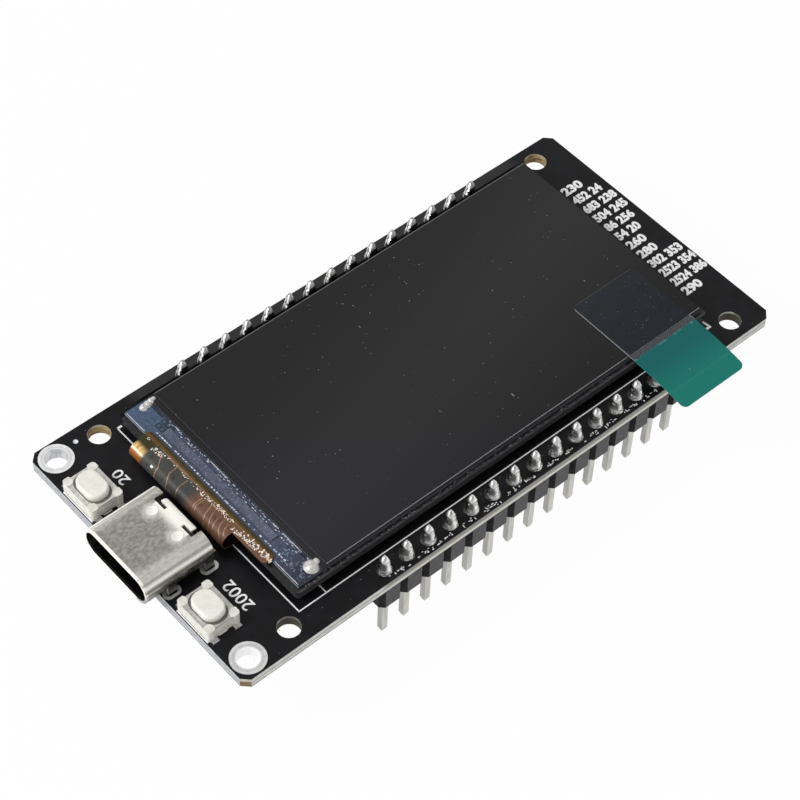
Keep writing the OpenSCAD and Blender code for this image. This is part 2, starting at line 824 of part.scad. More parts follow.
module usb_shell() {
    inner_top = usb_h - usb_wall;
    color([0.72, 0.7, 0.65])
    in_usb() {
        difference() {
            union() {
                difference() {
                    translate([0, 0, usb_h / 2]) along_x(usb_l) stadium(usb_w, usb_h);
                    translate([-past, 0, usb_h / 2]) along_x(usb_l + 2 * past)
                        stadium(usb_w - 2 * usb_wall, usb_h - 2 * usb_wall);
                }
                intersection() {
                    dimple_centres() sphere(dimple_r + usb_wall);
                    box_between([0, -usb_w / 2, inner_top - 2 * dimple_depth],
                        [usb_l, usb_w / 2, inner_top + lap]);
                }
            }
            dimple_centres() sphere(dimple_r);
            box_between([flap_cut_x, -flap_cut_w / 2, usb_h / 2],
                [usb_l + past, flap_cut_w / 2, usb_h + past]);
            box_between([floor_cut_x, -floor_cut_w / 2, -past],
                [usb_l + past, floor_cut_w / 2, floor_cut_h]);
        }
        usb_flap();
        for (x = leg_l, side = [-1, 1]) translate([x, side * leg_y, 0]) usb_leg();
    }
}

module usb_blades() {
    middle = usb_h / 2;
    for (y = blade_y, side = [-1, 1])
        translate([tongue_inset + blade_inset, y - blade_w / 2,
            middle + side * (tongue_t - blade_t) / 2 - blade_t / 2])
            cube([blade_l, blade_w, blade_t]);
}

module usb_tails() {
    for (y = tail_y)
        translate([moulding_foot - tail_in, y - tail_w / 2, 0]) cube([tail_in + tail_out, tail_w, tail_t]);
}

module usb_moulding() {
    middle = usb_h / 2;
    root_x = moulding_front - tongue_root_l;
    color([0.1, 0.1, 0.11])
    in_usb() difference() {
        union() {
            translate([moulding_front, 0, middle]) along_x(moulding_rear - moulding_front)
                stadium(usb_w - 2 * (usb_wall + fit), usb_h - 2 * (usb_wall + fit));
            box_between([root_x, -tongue_root_w / 2, middle - tongue_root_t / 2],
                [moulding_front + lap, tongue_root_w / 2, middle + tongue_root_t / 2]);
            translate([0, 0, middle - tongue_t / 2]) linear_extrude(tongue_t) {
                translate([(tongue_inset + root_x) / 2, 0])
                    rounded_rect(root_x - tongue_inset, tongue_w, tongue_corner_r);
                translate([root_x - tongue_root_l, -tongue_w / 2]) square([tongue_root_l + lap, tongue_w]);
            }
            box_between([floor_cut_x + past / 2, -foot_w / 2, 0], [moulding_foot, foot_w / 2, foot_h]);
            for (side = [-1, 1])
                translate([peg_x, side * peg_y, -peg_l]) cylinder(d = peg_d, h = peg_l + lap);
        }
        usb_blades();
        usb_tails();
        dimple_centres() sphere(dimple_r + usb_wall + fit);
    }
}

module usb_contacts() {
    color([0.85, 0.7, 0.35])
    in_usb() {
        usb_blades();
        usb_tails();
    }
}

// Solder in the leg slots, sunk at the top and proud at the bottom
module usb_solder() {
    color([0.75, 0.75, 0.75])
    at_legs() difference() {
        union() {
            linear_extrude(board_t - leg_solder_sunk) stadium(leg_slot_l, leg_slot_w);
            translate([0, 0, -plating_t - leg_solder_out]) linear_extrude(leg_solder_out)
                stadium((leg_slot_l + leg_pad_l) / 2, (leg_slot_w + leg_pad_w) / 2);
            translate([0, 0, -plating_t - lap]) linear_extrude(plating_t + 2 * lap)
                stadium(leg_slot_l, leg_slot_w);
        }
        translate([-leg_w / 2, -usb_wall / 2, -board_t]) cube([leg_w, usb_wall, 3 * board_t]);
    }
}

// Push buttons
module button_terminals() {
    for (x = [-1, 1], y = [-1, 1])
        translate([x * terminal_x, y * (button_w + terminal_out - terminal_in) / 2, terminal_t / 2])
            cube([terminal_w, terminal_in + terminal_out, terminal_t], center = true);
}

module button_posts(grow) {
    size = post_w + 2 * grow;
    for (x = [-1, 1], y = [-1, 1])
        translate([x * (button_l - post_w) / 2, y * (button_w - post_w) / 2])
            rounded_rect(size, size, post_r + grow);
}

module button_walls() {
    square([button_l - 2 * front_inset, button_w - 2 * wall_inset], center = true);
}

// The posts stand through the cover's corners, and their melted heads hold it down
module button_base() {
    difference() {
        union() {
            linear_extrude(cover_under) button_walls();
            linear_extrude(post_h) button_posts(0);
            translate([0, 0, cover_h]) linear_extrude(post_h - cover_h) intersection() {
                button_posts(head_lap);
                rounded_rect(button_l, button_w, post_r);
            }
        }
        translate([0, 0, cavity_floor]) linear_extrude(cover_h - cavity_floor)
            rounded_rect(cavity_l, cavity_w, corner_r);
        button_terminals();
    }
}

module button_cover() {
    translate([0, 0, cover_under]) linear_extrude(cover_t) difference() {
        button_walls();
        button_posts(fit);
        rounded_rect(plunger_l + 2 * slide_fit, plunger_w + 2 * slide_fit, corner_r + slide_fit);
    }
}

// One level of the plunger's rounded crown
module crown_slice(height, inset) {
    translate([0, 0, height - lap]) linear_extrude(lap)
        rounded_rect(plunger_l - 2 * inset, plunger_w - 2 * inset, corner_r - inset);
}

module button_plunger() {
    flange_low = flange_top - flange_t;
    translate([0, 0, flange_low]) linear_extrude(plunger_h - crown_h - flange_low)
        rounded_rect(plunger_l, plunger_w, corner_r);
    hull() {
        crown_slice(plunger_h - crown_h + lap, 0);
        crown_slice(plunger_h - crown_h / 2, crown_inset / 5);
        crown_slice(plunger_h - crown_h / 6, crown_inset / 2);
        crown_slice(plunger_h, crown_inset);
    }
    translate([0, 0, flange_low]) linear_extrude(flange_t)
        rounded_rect(plunger_l, plunger_w + 2 * flange_ear, corner_r - slide_fit);
    translate([0, 0, nub_bottom]) cylinder(d = nub_d, h = flange_low - nub_bottom + lap);
}

module button_dome() {
    translate([0, 0, cavity_floor]) intersection() {
        translate([0, 0, dome_h - dome_r]) difference() {
            sphere(dome_r);
            sphere(dome_r - dome_t);
        }
        cylinder(d = dome_d, h = dome_h);
    }
}

module reset_base() {
    color([0.88, 0.86, 0.8]) at_button(1) button_base();
}

module reset_cover() {
    color([0.78, 0.78, 0.76]) at_button(1) button_cover();
}

module reset_plunger() {
    color([0.92, 0.9, 0.85]) at_button(1) button_plunger();
}

module reset_dome() {
    color([0.75, 0.75, 0.75]) at_button(1) button_dome();
}

module reset_terminals() {
    color([0.8, 0.8, 0.78]) at_button(1) button_terminals();
}

module boot_base() {
    color([0.88, 0.86, 0.8]) at_button(-1) button_base();
}

module boot_cover() {
    color([0.78, 0.78, 0.76]) at_button(-1) button_cover();
}

module boot_plunger() {
    color([0.92, 0.9, 0.85]) at_button(-1) button_plunger();
}

module boot_dome() {
    color([0.75, 0.75, 0.75]) at_button(-1) button_dome();
}

module boot_terminals() {
    color([0.8, 0.8, 0.78]) at_button(-1) button_terminals();
}

// Pin headers
module header_strip(side) {
    row_l = (pin_count - 1) * pin_pitch;
    translate([0, 0, -strip_h]) linear_extrude(strip_h) difference() {
        union() {
            at_pins(side) chamfered_rect(pin_pitch, strip_w, strip_chamfer);
            translate([usb_edge_x + pin_inset + row_l / 2, side * row_y])
                square([row_l, strip_w - 2 * strip_chamfer], center = true);
        }
        at_pins(side) square(pin_w, center = true);
    }
}

// Front view of a pin, tapered at both ends
module pin_outline() {
    low = -strip_h - pin_below;
    high = board_t + pin_above;
    polygon([
        [-pin_w / 2, low + pin_taper], [-pin_tip / 2, low],
        [pin_tip / 2, low], [pin_w / 2, low + pin_taper],
        [pin_w / 2, high - pin_taper], [pin_tip / 2, high],
        [-pin_tip / 2, high], [-pin_w / 2, high - pin_taper]
    ]);
}

module header_pins(side) {
    at_pins(side) intersection() {
        across_y(pin_w) pin_outline();
        translate([-pin_w / 2, 0, 0]) along_x(pin_w) pin_outline();
    }
}

// Half section of a solder joint, hollowed by a circle from the foot to the top of the neck
module solder_section() {
    difference() {
        square([solder_d / 2, solder_h]);
        translate([solder_neck_r + solder_curve_r, solder_h]) circle(solder_curve_r);
    }
}

module header_solder(side) {
    at_pins(side) difference() {
        union() {
            translate([0, 0, board_t]) rotate_extrude() solder_section();
            cylinder(d = pin_hole_d - 2 * fit, h = board_t + lap);
        }
        translate([0, 0, -past]) linear_extrude(board_t + solder_h + 2 * past) square(pin_w, center = true);
    }
}

module near_strip() {
    color([0.25, 0.25, 0.28]) header_strip(-1);
}

module near_pins() {
    color([0.78, 0.74, 0.66]) header_pins(-1);
}

module near_solder() {
    color([0.75, 0.75, 0.75]) header_solder(-1);
}

module far_strip() {
    color([0.25, 0.25, 0.28]) header_strip(1);
}

module far_pins() {
    color([0.78, 0.74, 0.66]) header_pins(1);
}

module far_solder() {
    color([0.75, 0.75, 0.75]) header_solder(1);
}

// Radio module, upside down under the far end
module in_module() {
    under_board([module_x, 0, 0]) children();
}

module at_module_pads() {
    for (i = [0 : module_pads_side - 1], side = [-1, 1])
        translate([pad_start - module_l / 2 + i * pad_pitch, side * module_w / 2, 0]) children();
    for (i = [0 : module_pads_end - 1])
        translate([-module_l / 2, (i - (module_pads_end - 1) / 2) * pad_pitch, 0]) children();
}

module module_board() {
    color([0.1, 0.1, 0.11])
    in_module() linear_extrude(module_t) difference() {
        square([module_l, module_w], center = true);
        at_module_pads() circle(pad_r);
    }
}

module module_shield() {
    color([0.75, 0.75, 0.74])
    in_module() translate([shield_x, 0, module_t]) difference() {
        linear_extrude(shield_h) rounded_rect(shield_l, shield_w, shield_corner_r);
        translate([0, 0, -past]) linear_extrude(shield_h - shield_t + past)
            rounded_rect(shield_l - 2 * shield_t, shield_w - 2 * shield_t, shield_corner_r - shield_t);
    }
}

module module_chip(x, y, size) {
    in_module() translate([shield_x + x - size[0] / 2, y - size[1] / 2, module_t]) cube(size);
}

module module_processor() {
    color([0.12, 0.12, 0.12]) module_chip(2.5, -2.5, processor_size);
}

module module_memory() {
    color([0.14, 0.14, 0.14]) module_chip(-4, 3, memory_size);
}

module module_crystal() {
    color([0.8, 0.78, 0.7]) module_chip(3.5, 4, crystal_size);
}

// Meandering trace on the antenna end
module module_antenna() {
    start_y = -antenna_turns * antenna_pitch;
    color([0.72, 0.55, 0.3])
    in_module() translate([module_l / 2 - antenna_l + 1.2, 0, module_t]) linear_extrude(antenna_t) {
        for (i = [0 : 2 * antenna_turns])
            translate([0, start_y + i * antenna_pitch - antenna_line / 2])
                square([antenna_deep, antenna_line]);
        for (i = [0 : 2 * antenna_turns - 1])
            translate([i % 2 == 0 ? antenna_deep - antenna_line : 0, start_y + i * antenna_pitch])
                square([antenna_line, antenna_pitch]);
    }
}

module module_solder() {
    color([0.75, 0.75, 0.75])
    in_module() at_module_pads() cylinder(h = module_t - lap, r1 = pad_r - fit, r2 = pad_r / 2);
}

// A moulded chip body along X, drafted above and below the level of its leads
module chip_body(length, width, height) {
    side = width / 2;
    middle = (stand_off + height) / 2;
    translate([-length / 2, 0, 0]) along_x(length) polygon([
        [draft - side, stand_off], [side - draft, stand_off], [side, middle - lead_t / 2],
        [side, middle + lead_t / 2], [side - draft, height], [draft - side, height],
        [-side, middle + lead_t / 2], [-side, middle - lead_t / 2]
    ]);
}

// A bent lead that leaves the body's side at half height and lands on the board
module gull_lead(x, side, body_w, body_h, width, reach) {
    middle = (stand_off + body_h) / 2;
    knee = reach / 3;
    mirror([0, side < 0 ? 1 : 0, 0])
    translate([x - width / 2, body_w / 2, 0]) along_x(width) polygon([
        [0, middle + lead_t / 2], [knee + lead_t, middle + lead_t / 2], [knee + lead_t, lead_t],
        [reach, lead_t], [reach, 0], [knee, 0], [knee, middle - lead_t / 2], [0, middle - lead_t / 2]
    ]);
}

module serial_chip() {
    color([0.15, 0.15, 0.16]) under_board(serial_at) chip_body(serial_l, serial_w, serial_h);
}

module serial_leads() {
    color([0.75, 0.75, 0.74])
    under_board(serial_at) for (i = [-3.5 : 3.5], side = [-1, 1])
        gull_lead(i * serial_pitch, side, serial_w, serial_h, 0.42, 1.05);
}

module regulator_body() {
    color([0.14, 0.14, 0.15]) under_board(regulator_at) chip_body(regulator_l, regulator_w, regulator_h);
}

module regulator_leads() {
    color([0.75, 0.75, 0.74])
    under_board(regulator_at) {
        for (i = [-1 : 1]) gull_lead(i * regulator_pitch, 1, regulator_w, regulator_h, 0.7, 1.75);
        gull_lead(0, -1, regulator_w, regulator_h, 3, 1.75);
    }
}

module transistor_bodies() {
    color([0.15, 0.15, 0.16])
    for (place = transistor_at) under_board(place) chip_body(transistor_l, transistor_w, transistor_h);
}

module transistor_leads() {
    color([0.75, 0.75, 0.74])
    for (place = transistor_at) under_board(place) {
        for (x = [-0.95, 0.95]) gull_lead(x, 1, transistor_w, transistor_h, 0.4, 0.6);
        gull_lead(0, -1, transistor_w, transistor_h, 0.4, 0.6);
    }
}

module input_diode() {
    color([0.15, 0.15, 0.16]) under_board(diode_at) rotate(90) chip_body(diode_w, diode_l, diode_h);
}

module diode_leads() {
    color([0.75, 0.75, 0.74])
    under_board(diode_at) rotate(90) for (side = [-1, 1]) gull_lead(0, side, diode_l, diode_h, 1.5, 0.6);
}

// Chip parts: a body between two end caps
module chip_middle(size) {
    translate([cap_l - size[0] / 2, -size[1] / 2, cap_grow])
        cube([size[0] - 2 * cap_l, size[1], size[2] - cap_grow]);
}

module chip_caps(size) {
    for (side = [-1, 1])
        translate([side * (size[0] - cap_l) / 2 - cap_l / 2, -size[1] / 2 - cap_grow, 0])
            cube([cap_l, size[1] + 2 * cap_grow, size[2] + cap_grow]);
}

module chip_capacitors() {
    color([0.6, 0.48, 0.35]) for (place = capacitor_at) under_board(place) chip_middle(capacitor);
}

module chip_resistors() {
    color([0.1, 0.1, 0.1]) for (place = resistor_at) under_board(place) chip_middle(resistor);
}

module power_lamp_body() {
    color([0.85, 0.3, 0.25]) under_board(lamp_at) chip_middle(power_lamp);
}

module chip_terminals() {
    color([0.75, 0.75, 0.74]) {
        for (place = capacitor_at) under_board(place) chip_caps(capacitor);
        for (place = resistor_at) under_board(place) chip_caps(resistor);
        under_board(lamp_at) chip_caps(power_lamp);
    }
}

circuit_board();
corner_hole_plating();
usb_slot_plating();
display_tape();
backlight_frame();
backlight_reflector();
light_guide();
backlight_films();
backlight_lamps();
rim_tape();
rear_polariser();
rear_glass();
front_glass();
front_polariser();
protective_film();
pull_tab();
pull_tab_liner();
driver_chip();
display_flex();
flex_solder();
silver_paste();
usb_shell();
usb_moulding();
usb_contacts();
usb_solder();
reset_base();
reset_cover();
reset_plunger();
reset_dome();
reset_terminals();
boot_base();
boot_cover();
boot_plunger();
boot_dome();
boot_terminals();
near_strip();
near_pins();
near_solder();
far_strip();
far_pins();
far_solder();
module_board();
module_shield();
module_processor();
module_memory();
module_crystal();
module_antenna();
module_solder();
serial_chip();
serial_leads();
regulator_body();
regulator_leads();
transistor_bodies();
transistor_leads();
input_diode();
diode_leads();
chip_capacitors();
chip_resistors();
chip_terminals();
power_lamp_body();
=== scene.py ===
"""Looks of the display development board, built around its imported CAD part."""
import json
import math
import random

import bmesh
import bpy
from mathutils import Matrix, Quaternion, Vector

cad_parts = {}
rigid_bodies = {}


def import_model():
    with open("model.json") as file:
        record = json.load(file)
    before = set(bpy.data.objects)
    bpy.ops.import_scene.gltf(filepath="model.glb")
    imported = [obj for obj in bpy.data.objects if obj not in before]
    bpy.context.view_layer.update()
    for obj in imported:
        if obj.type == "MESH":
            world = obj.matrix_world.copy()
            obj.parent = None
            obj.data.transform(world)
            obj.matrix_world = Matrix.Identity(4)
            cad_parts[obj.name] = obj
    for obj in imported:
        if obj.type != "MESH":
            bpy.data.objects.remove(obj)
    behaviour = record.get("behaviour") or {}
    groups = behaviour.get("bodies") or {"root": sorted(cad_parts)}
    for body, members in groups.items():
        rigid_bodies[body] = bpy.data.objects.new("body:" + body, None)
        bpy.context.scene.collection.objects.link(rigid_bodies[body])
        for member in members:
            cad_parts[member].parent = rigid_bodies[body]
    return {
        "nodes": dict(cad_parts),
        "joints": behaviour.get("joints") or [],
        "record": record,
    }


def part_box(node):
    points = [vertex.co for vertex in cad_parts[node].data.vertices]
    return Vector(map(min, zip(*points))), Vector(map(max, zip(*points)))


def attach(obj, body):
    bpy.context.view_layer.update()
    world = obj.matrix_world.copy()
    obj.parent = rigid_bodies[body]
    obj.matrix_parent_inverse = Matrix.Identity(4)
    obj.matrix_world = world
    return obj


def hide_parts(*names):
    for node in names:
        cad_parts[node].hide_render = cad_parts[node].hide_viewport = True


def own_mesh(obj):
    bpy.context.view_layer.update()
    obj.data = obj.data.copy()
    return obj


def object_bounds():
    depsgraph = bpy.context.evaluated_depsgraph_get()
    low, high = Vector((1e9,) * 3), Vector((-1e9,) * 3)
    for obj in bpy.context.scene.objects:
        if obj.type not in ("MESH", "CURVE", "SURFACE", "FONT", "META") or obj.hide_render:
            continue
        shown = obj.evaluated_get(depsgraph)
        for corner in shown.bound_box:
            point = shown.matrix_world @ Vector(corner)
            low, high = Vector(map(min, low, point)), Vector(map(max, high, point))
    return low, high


MM = 0.001
UP = Vector((0, 0, 1))
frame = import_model()
cad_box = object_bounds()


def box_mm(node):
    """Lowest and highest corner of a CAD node, in millimetres."""
    return [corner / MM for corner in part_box(node)]


# Boxes of the CAD nodes that the looks follow, in millimetres in the part's frame
BOARD_LOW, BOARD_HIGH = box_mm("circuit_board")
REAR_LOW, REAR_HIGH = box_mm("rear_glass")
FRONT_LOW = box_mm("front_glass")[0]
FILM_LOW, FILM_HIGH = box_mm("protective_film")
RIM_LOW, RIM_HIGH = box_mm("backlight_frame")
FLEX_LOW, FLEX_HIGH = box_mm("display_flex")
CHIP_LOW, CHIP_HIGH = box_mm("driver_chip")
SHELL_LOW = box_mm("usb_shell")[0]
TAB_LOW, TAB_HIGH = box_mm("pull_tab")
LINER_LOW, LINER_HIGH = box_mm("pull_tab_liner")
MODULE_LOW, MODULE_HIGH = box_mm("module_board")

# Places on the CAD part that no box gives: holes, rings, header pins, plungers, socket and flex
HOLE_X, HOLE_Y, HOLE_R = 26.9, 13.5, 1.1
RING_X, RING_Y = -31.5, 13.7
PIN_X, PIN_Y, PITCH = 0.98, 14.2, 2.54
PIN_GAPS = range(-7, 7)
NECK_Z = 2.45
PLUNGER_R = 1.05
SOCKET_Y, SOCKET_Z, SOCKET_R = 2.87, 2.8, 1.3
DIMPLE_X, DIMPLE_Y = SHELL_LOW.x + 5.35, 1.78
SHELL_END_X = SHELL_LOW.x + 7.3
BOND_X = REAR_LOW.x + 0.55
TAIL_X = BOARD_LOW.x + 8.8

# The ledge's height above the board, and the thickness of ink, of print on the glass and of solder specks
LEDGE_Z = REAR_HIGH.z - BOARD_HIGH.z
INK_T, PRINT_T, SPECK_T = 0.015, 0.01, 0.03

# The flex's tail bends round this line, on this outer radius
BEND_R = (FLEX_HIGH.z - FLEX_LOW.z) / 2
BEND = Vector((FLEX_LOW.x + BEND_R, 0, FLEX_LOW.z + BEND_R))


def rel(x, y, z=0.0):
    """A point given from the board's USB edge, its middle line and its top face."""
    return Vector((BOARD_LOW.x + x, y, BOARD_HIGH.z + z))


def on_flex(s, y):
    """A point on the flex's outside and its normal, s millimetres past the start of the bend."""
    if s <= 0:
        return Vector((BEND.x - s, y, FLEX_HIGH.z)), UP
    angle = s / BEND_R
    normal = Vector((-math.sin(angle), 0, math.cos(angle)))
    return Vector((BEND.x, y, BEND.z)) + normal * BEND_R, normal


def flex_path(corners, step=0.12):
    """Points and normals on the flex, a step apart between the corners of a path."""
    spots = []
    for (s0, y0), (s1, y1) in zip(corners, corners[1:]):
        n = max(1, round(math.hypot(s1 - s0, y1 - y0) / step))
        spots += [(s0 + (s1 - s0) * i / n, y0 + (y1 - y0) * i / n) for i in range(n)]
    return zip(*[on_flex(*spot) for spot in spots + [corners[-1]]])


class Solid:
    """A mesh under construction, in millimetres."""

    def __init__(self):
        self.points = []
        self.faces = []

    def strap(self, path, normals, width, thick):
        """A flat bar along a path on a surface with these normals."""
        start = len(self.points)
        last = len(path) - 1
        for i, (point, normal) in enumerate(zip(path, normals)):
            along = path[min(i + 1, last)] - path[max(i - 1, 0)]
            side = along.cross(normal).normalized() * width / 2
            top = normal * thick
            self.points += [point - side, point + side, point + side + top, point - side + top]
        for i in range(last):
            a = start + 4 * i
            for j in range(4):
                k = (j + 1) % 4
                self.faces.append((a + j, a + k, a + 4 + k, a + 4 + j))
        for a in (start, start + 4 * last):
            self.faces.append((a, a + 1, a + 2, a + 3))

    def line(self, a, b, width, thick=INK_T):
        """A straight bar on a level face."""
        self.strap([a, b], [UP, UP], width, thick)

    def fleck(self, place, size, turn, thick=INK_T):
        """A small rectangle on a level face, turned about Z."""
        half = Vector((math.cos(turn), math.sin(turn), 0)) * size[0] / 2
        self.line(place - half, place + half, size[1], thick)

    def disc(self, place, radius, thick=INK_T, sides=16):
        """A round spot on a level face."""
        start = len(self.points)
        for z in (0, thick):
            for i in range(sides):
                angle = 2 * math.pi * i / sides
                self.points.append(place + Vector((radius * math.cos(angle), radius * math.sin(angle), z)))
        for i in range(sides):
            k = (i + 1) % sides
            self.faces.append((start + i, start + k, start + sides + k, start + sides + i))
        self.faces.append(tuple(range(start, start + sides)))
        self.faces.append(tuple(range(start + sides, start + 2 * sides)))

    def number(self, digits, corner, right, up, size, bold=0.05):
        """Digits on a level face, read along right, fitted into a box from its lower left corner."""
        curve = bpy.data.curves.new("digits", "FONT")
        curve.body = digits
        curve.offset = bold
        curve.resolution_u = 3
        curve.extrude = INK_T / 2
        holder = bpy.data.objects.new("digits", curve)
        bpy.context.scene.collection.objects.link(holder)
        shape = holder.evaluated_get(bpy.context.evaluated_depsgraph_get()).to_mesh()
        spots = [vertex.co.copy() for vertex in shape.vertices]
        low = [min(spot[k] for spot in spots) for k in (0, 1)]
        high = [max(spot[k] for spot in spots) for k in (0, 1)]
        scale = [size[k] / (high[k] - low[k]) for k in (0, 1)]
        start = len(self.points)
        for spot in spots:
            x, y = ((spot[k] - low[k]) * scale[k] for k in (0, 1))
            self.points.append(corner + right * x + up * y + UP * (spot.z + INK_T / 2))
        for polygon in shape.polygons:
            self.faces.append(tuple(start + i for i in polygon.vertices))
        bpy.data.objects.remove(holder)
        bpy.data.curves.remove(curve)

    def piece(self, name, material, body="board"):
        """The finished mesh as a piece that moves with a body."""
        mesh = bpy.data.meshes.new(name)
        mesh.from_pydata([point * MM for point in self.points], [], self.faces)
        build = bmesh.new()
        build.from_mesh(mesh)
        bmesh.ops.remove_doubles(build, verts=build.verts, dist=1e-8)
        bmesh.ops.recalc_face_normals(build, faces=build.faces)
        build.to_mesh(mesh)
        build.free()
        mesh.materials.append(material)
        thing = bpy.data.objects.new(name, mesh)
        bpy.context.scene.collection.objects.link(thing)
        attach(thing, body)
        return thing


class Shader:
    """A material's node tree, with short calls for the nodes used here. Lengths are millimetres."""

    def __init__(self, name):
        self.material = bpy.data.materials.new(name)
        self.material.use_nodes = True
        self.tree = self.material.node_tree
        self.bsdf = self.tree.nodes["Principled BSDF"]
        scale = self.add("ShaderNodeVectorMath", operation="SCALE")
        scale.inputs["Scale"].default_value = 1 / MM
        self.join(self.add("ShaderNodeTexCoord").outputs["Object"], scale.inputs[0])
        self.coords = scale.outputs["Vector"]

    def add(self, kind, **values):
        node = self.tree.nodes.new(kind)
        for key, value in values.items():
            setattr(node, key, value)
        return node

    def join(self, value, socket):
        """Links a socket to a node's output, or sets it to a constant."""
        if hasattr(value, "is_output"):
            self.tree.links.new(value, socket)
        else:
            socket.default_value = value

    def set(self, **values):
        """Joins values to the sockets of the Principled shader."""
        for key, value in values.items():
            self.join(value, self.bsdf.inputs[key.replace("_", " ")])
        return self

    def colour(self):
        """The base colour as it is so far."""
        return self.bsdf.inputs["Base Color"].links[0].from_socket

    def stretched(self, stretch):
        if not stretch:
            return self.coords
        mapping = self.add("ShaderNodeMapping")
        mapping.inputs["Scale"].default_value = stretch
        self.join(self.coords, mapping.inputs["Vector"])
        return mapping.outputs["Vector"]

    def noise(self, per_mm, detail=3.0, stretch=None, rough=0.5):
        """Noise with about per_mm features to the millimetre."""
        node = self.add("ShaderNodeTexNoise")
        self.join(self.stretched(stretch), node.inputs["Vector"])
        node.inputs["Scale"].default_value = per_mm
        node.inputs["Detail"].default_value = detail
        node.inputs["Roughness"].default_value = rough
        return node.outputs["Fac"]

    def specks(self, per_mm, size, share, stretch=None):
        """One in small specks that sit in a given share of the cells of a grid."""
        node = self.add("ShaderNodeTexVoronoi")
        self.join(self.stretched(stretch), node.inputs["Vector"])
        node.inputs["Scale"].default_value = per_mm
        pick = self.add("ShaderNodeSeparateColor")
        self.join(node.outputs["Color"], pick.inputs["Color"])
        return self.both(self.below(node.outputs["Distance"], size), self.below(pick.outputs["Red"], share))

    def ramp(self, value, low, high, start=0.35, end=0.65):
        """Blends two colours or two numbers over a stretch of value."""
        node = self.add("ShaderNodeMapRange", interpolation_type="SMOOTHSTEP")
        self.join(value, node.inputs["Value"])
        node.inputs["From Min"].default_value = start
        node.inputs["From Max"].default_value = end
        if isinstance(low, tuple):
            return self.mix(node.outputs["Result"], low, high)
        node.inputs["To Min"].default_value = low
        node.inputs["To Max"].default_value = high
        return node.outputs["Result"]

    def choose(self, mask, off, on):
        """One number where a mask is zero, another where it is one."""
        return self.ramp(mask, off, on, 0, 1)

    def between(self, value, rise, fall):
        """One past the stretch rise and before the stretch fall, blended over both."""
        return self.both(self.ramp(value, 0.0, 1.0, *rise), self.ramp(value, 1.0, 0.0, *fall))

    def stripe(self, value, middle, inner, outer, strength=1.0):
        """A soft line where value is near middle, full up to inner and gone past outer."""
        return self.ramp(self.size(self.minus(value, middle)), strength, 0.0, inner, outer)

    def mix(self, factor, a, b):
        """Blends two colours."""
        node = self.add("ShaderNodeMix", data_type="RGBA")
        self.join(factor, node.inputs["Factor"])
        self.join(a if hasattr(a, "is_output") else (*a, 1), node.inputs["A"])
        self.join(b if hasattr(b, "is_output") else (*b, 1), node.inputs["B"])
        return node.outputs["Result"]

    def math(self, operation, a, b=0.0):
        node = self.add("ShaderNodeMath", operation=operation)
        self.join(a, node.inputs[0])
        self.join(b, node.inputs[1])
        return node.outputs["Value"]

    def above(self, value, limit):
        return self.math("GREATER_THAN", value, limit)

    def below(self, value, limit):
        return self.math("LESS_THAN", value, limit)

    def both(self, a, b):
        return self.math("MULTIPLY", a, b)

    def either(self, a, b):
        return self.math("MAXIMUM", a, b)

    def no(self, mask):
        """One where a mask is zero."""
        return self.below(mask, 0.5)

    def minus(self, a, b):
        return self.math("SUBTRACT", a, b)

    def size(self, value):
        return self.math("ABSOLUTE", value)

    def length(self, a, b):
        return self.math("SQRT", self.math("ADD", self.both(a, a), self.both(b, b)))

    def one_of(self, vector, axis):
        node = self.add("ShaderNodeSeparateXYZ")
        self.join(vector, node.inputs["Vector"])
        return node.outputs[axis]

    def part(self, axis):
        """One part of the place on the piece."""
        return self.one_of(self.coords, axis)

    def tilt(self, axis):
        """One part of the surface normal."""
        return self.one_of(self.add("ShaderNodeTexCoord").outputs["Normal"], axis)

    def upright(self):
        """One on faces that stand upright."""
        return self.below(self.size(self.tilt("Z")), 0.6)

    def off_pin(self):
        """How far a place lies from the axis of the nearest header pin, along X and along Y."""
        way = self.math("DIVIDE", self.minus(self.part("X"), PIN_X), PITCH)
        side = self.part("Y")
        return (self.both(self.minus(way, self.math("ROUND", way)), PITCH),
                self.both(self.minus(self.size(side), PIN_Y), self.math("SIGN", side)))

    def round_normal(self, height):
        """The normal of a round, tapered joint about the nearest header pin."""
        join = self.add("ShaderNodeCombineXYZ")
        for value, axis in zip((*self.off_pin(), height), "XYZ"):
            self.join(value, join.inputs[axis])
        unit = self.add("ShaderNodeVectorMath", operation="NORMALIZE")
        self.join(join.outputs["Vector"], unit.inputs[0])
        turn = self.add("ShaderNodeVectorTransform", vector_type="NORMAL",
                        convert_from="OBJECT", convert_to="WORLD")
        self.join(unit.outputs["Vector"], turn.inputs["Vector"])
        return turn.outputs["Vector"]

    def bump(self, height, strength, depth=0.05, normal=None):
        node = self.add("ShaderNodeBump")
        node.inputs["Strength"].default_value = strength
        node.inputs["Distance"].default_value = depth * MM
        self.join(height, node.inputs["Height"])
        if normal:
            self.join(normal, node.inputs["Normal"])
        return self.set(Normal=node.outputs["Normal"])


def plain(name, low, high, rough, metal=0.0, per_mm=2.0, bump=0.0):
    """A material whose colour and roughness wander between two values."""
    s = Shader(name)
    grain = s.noise(per_mm)
    s.set(Base_Color=s.ramp(grain, low, high), Roughness=s.ramp(grain, *rough), Metallic=metal)
    if bump:
        s.bump(s.noise(per_mm * 3), bump)
    return s.material


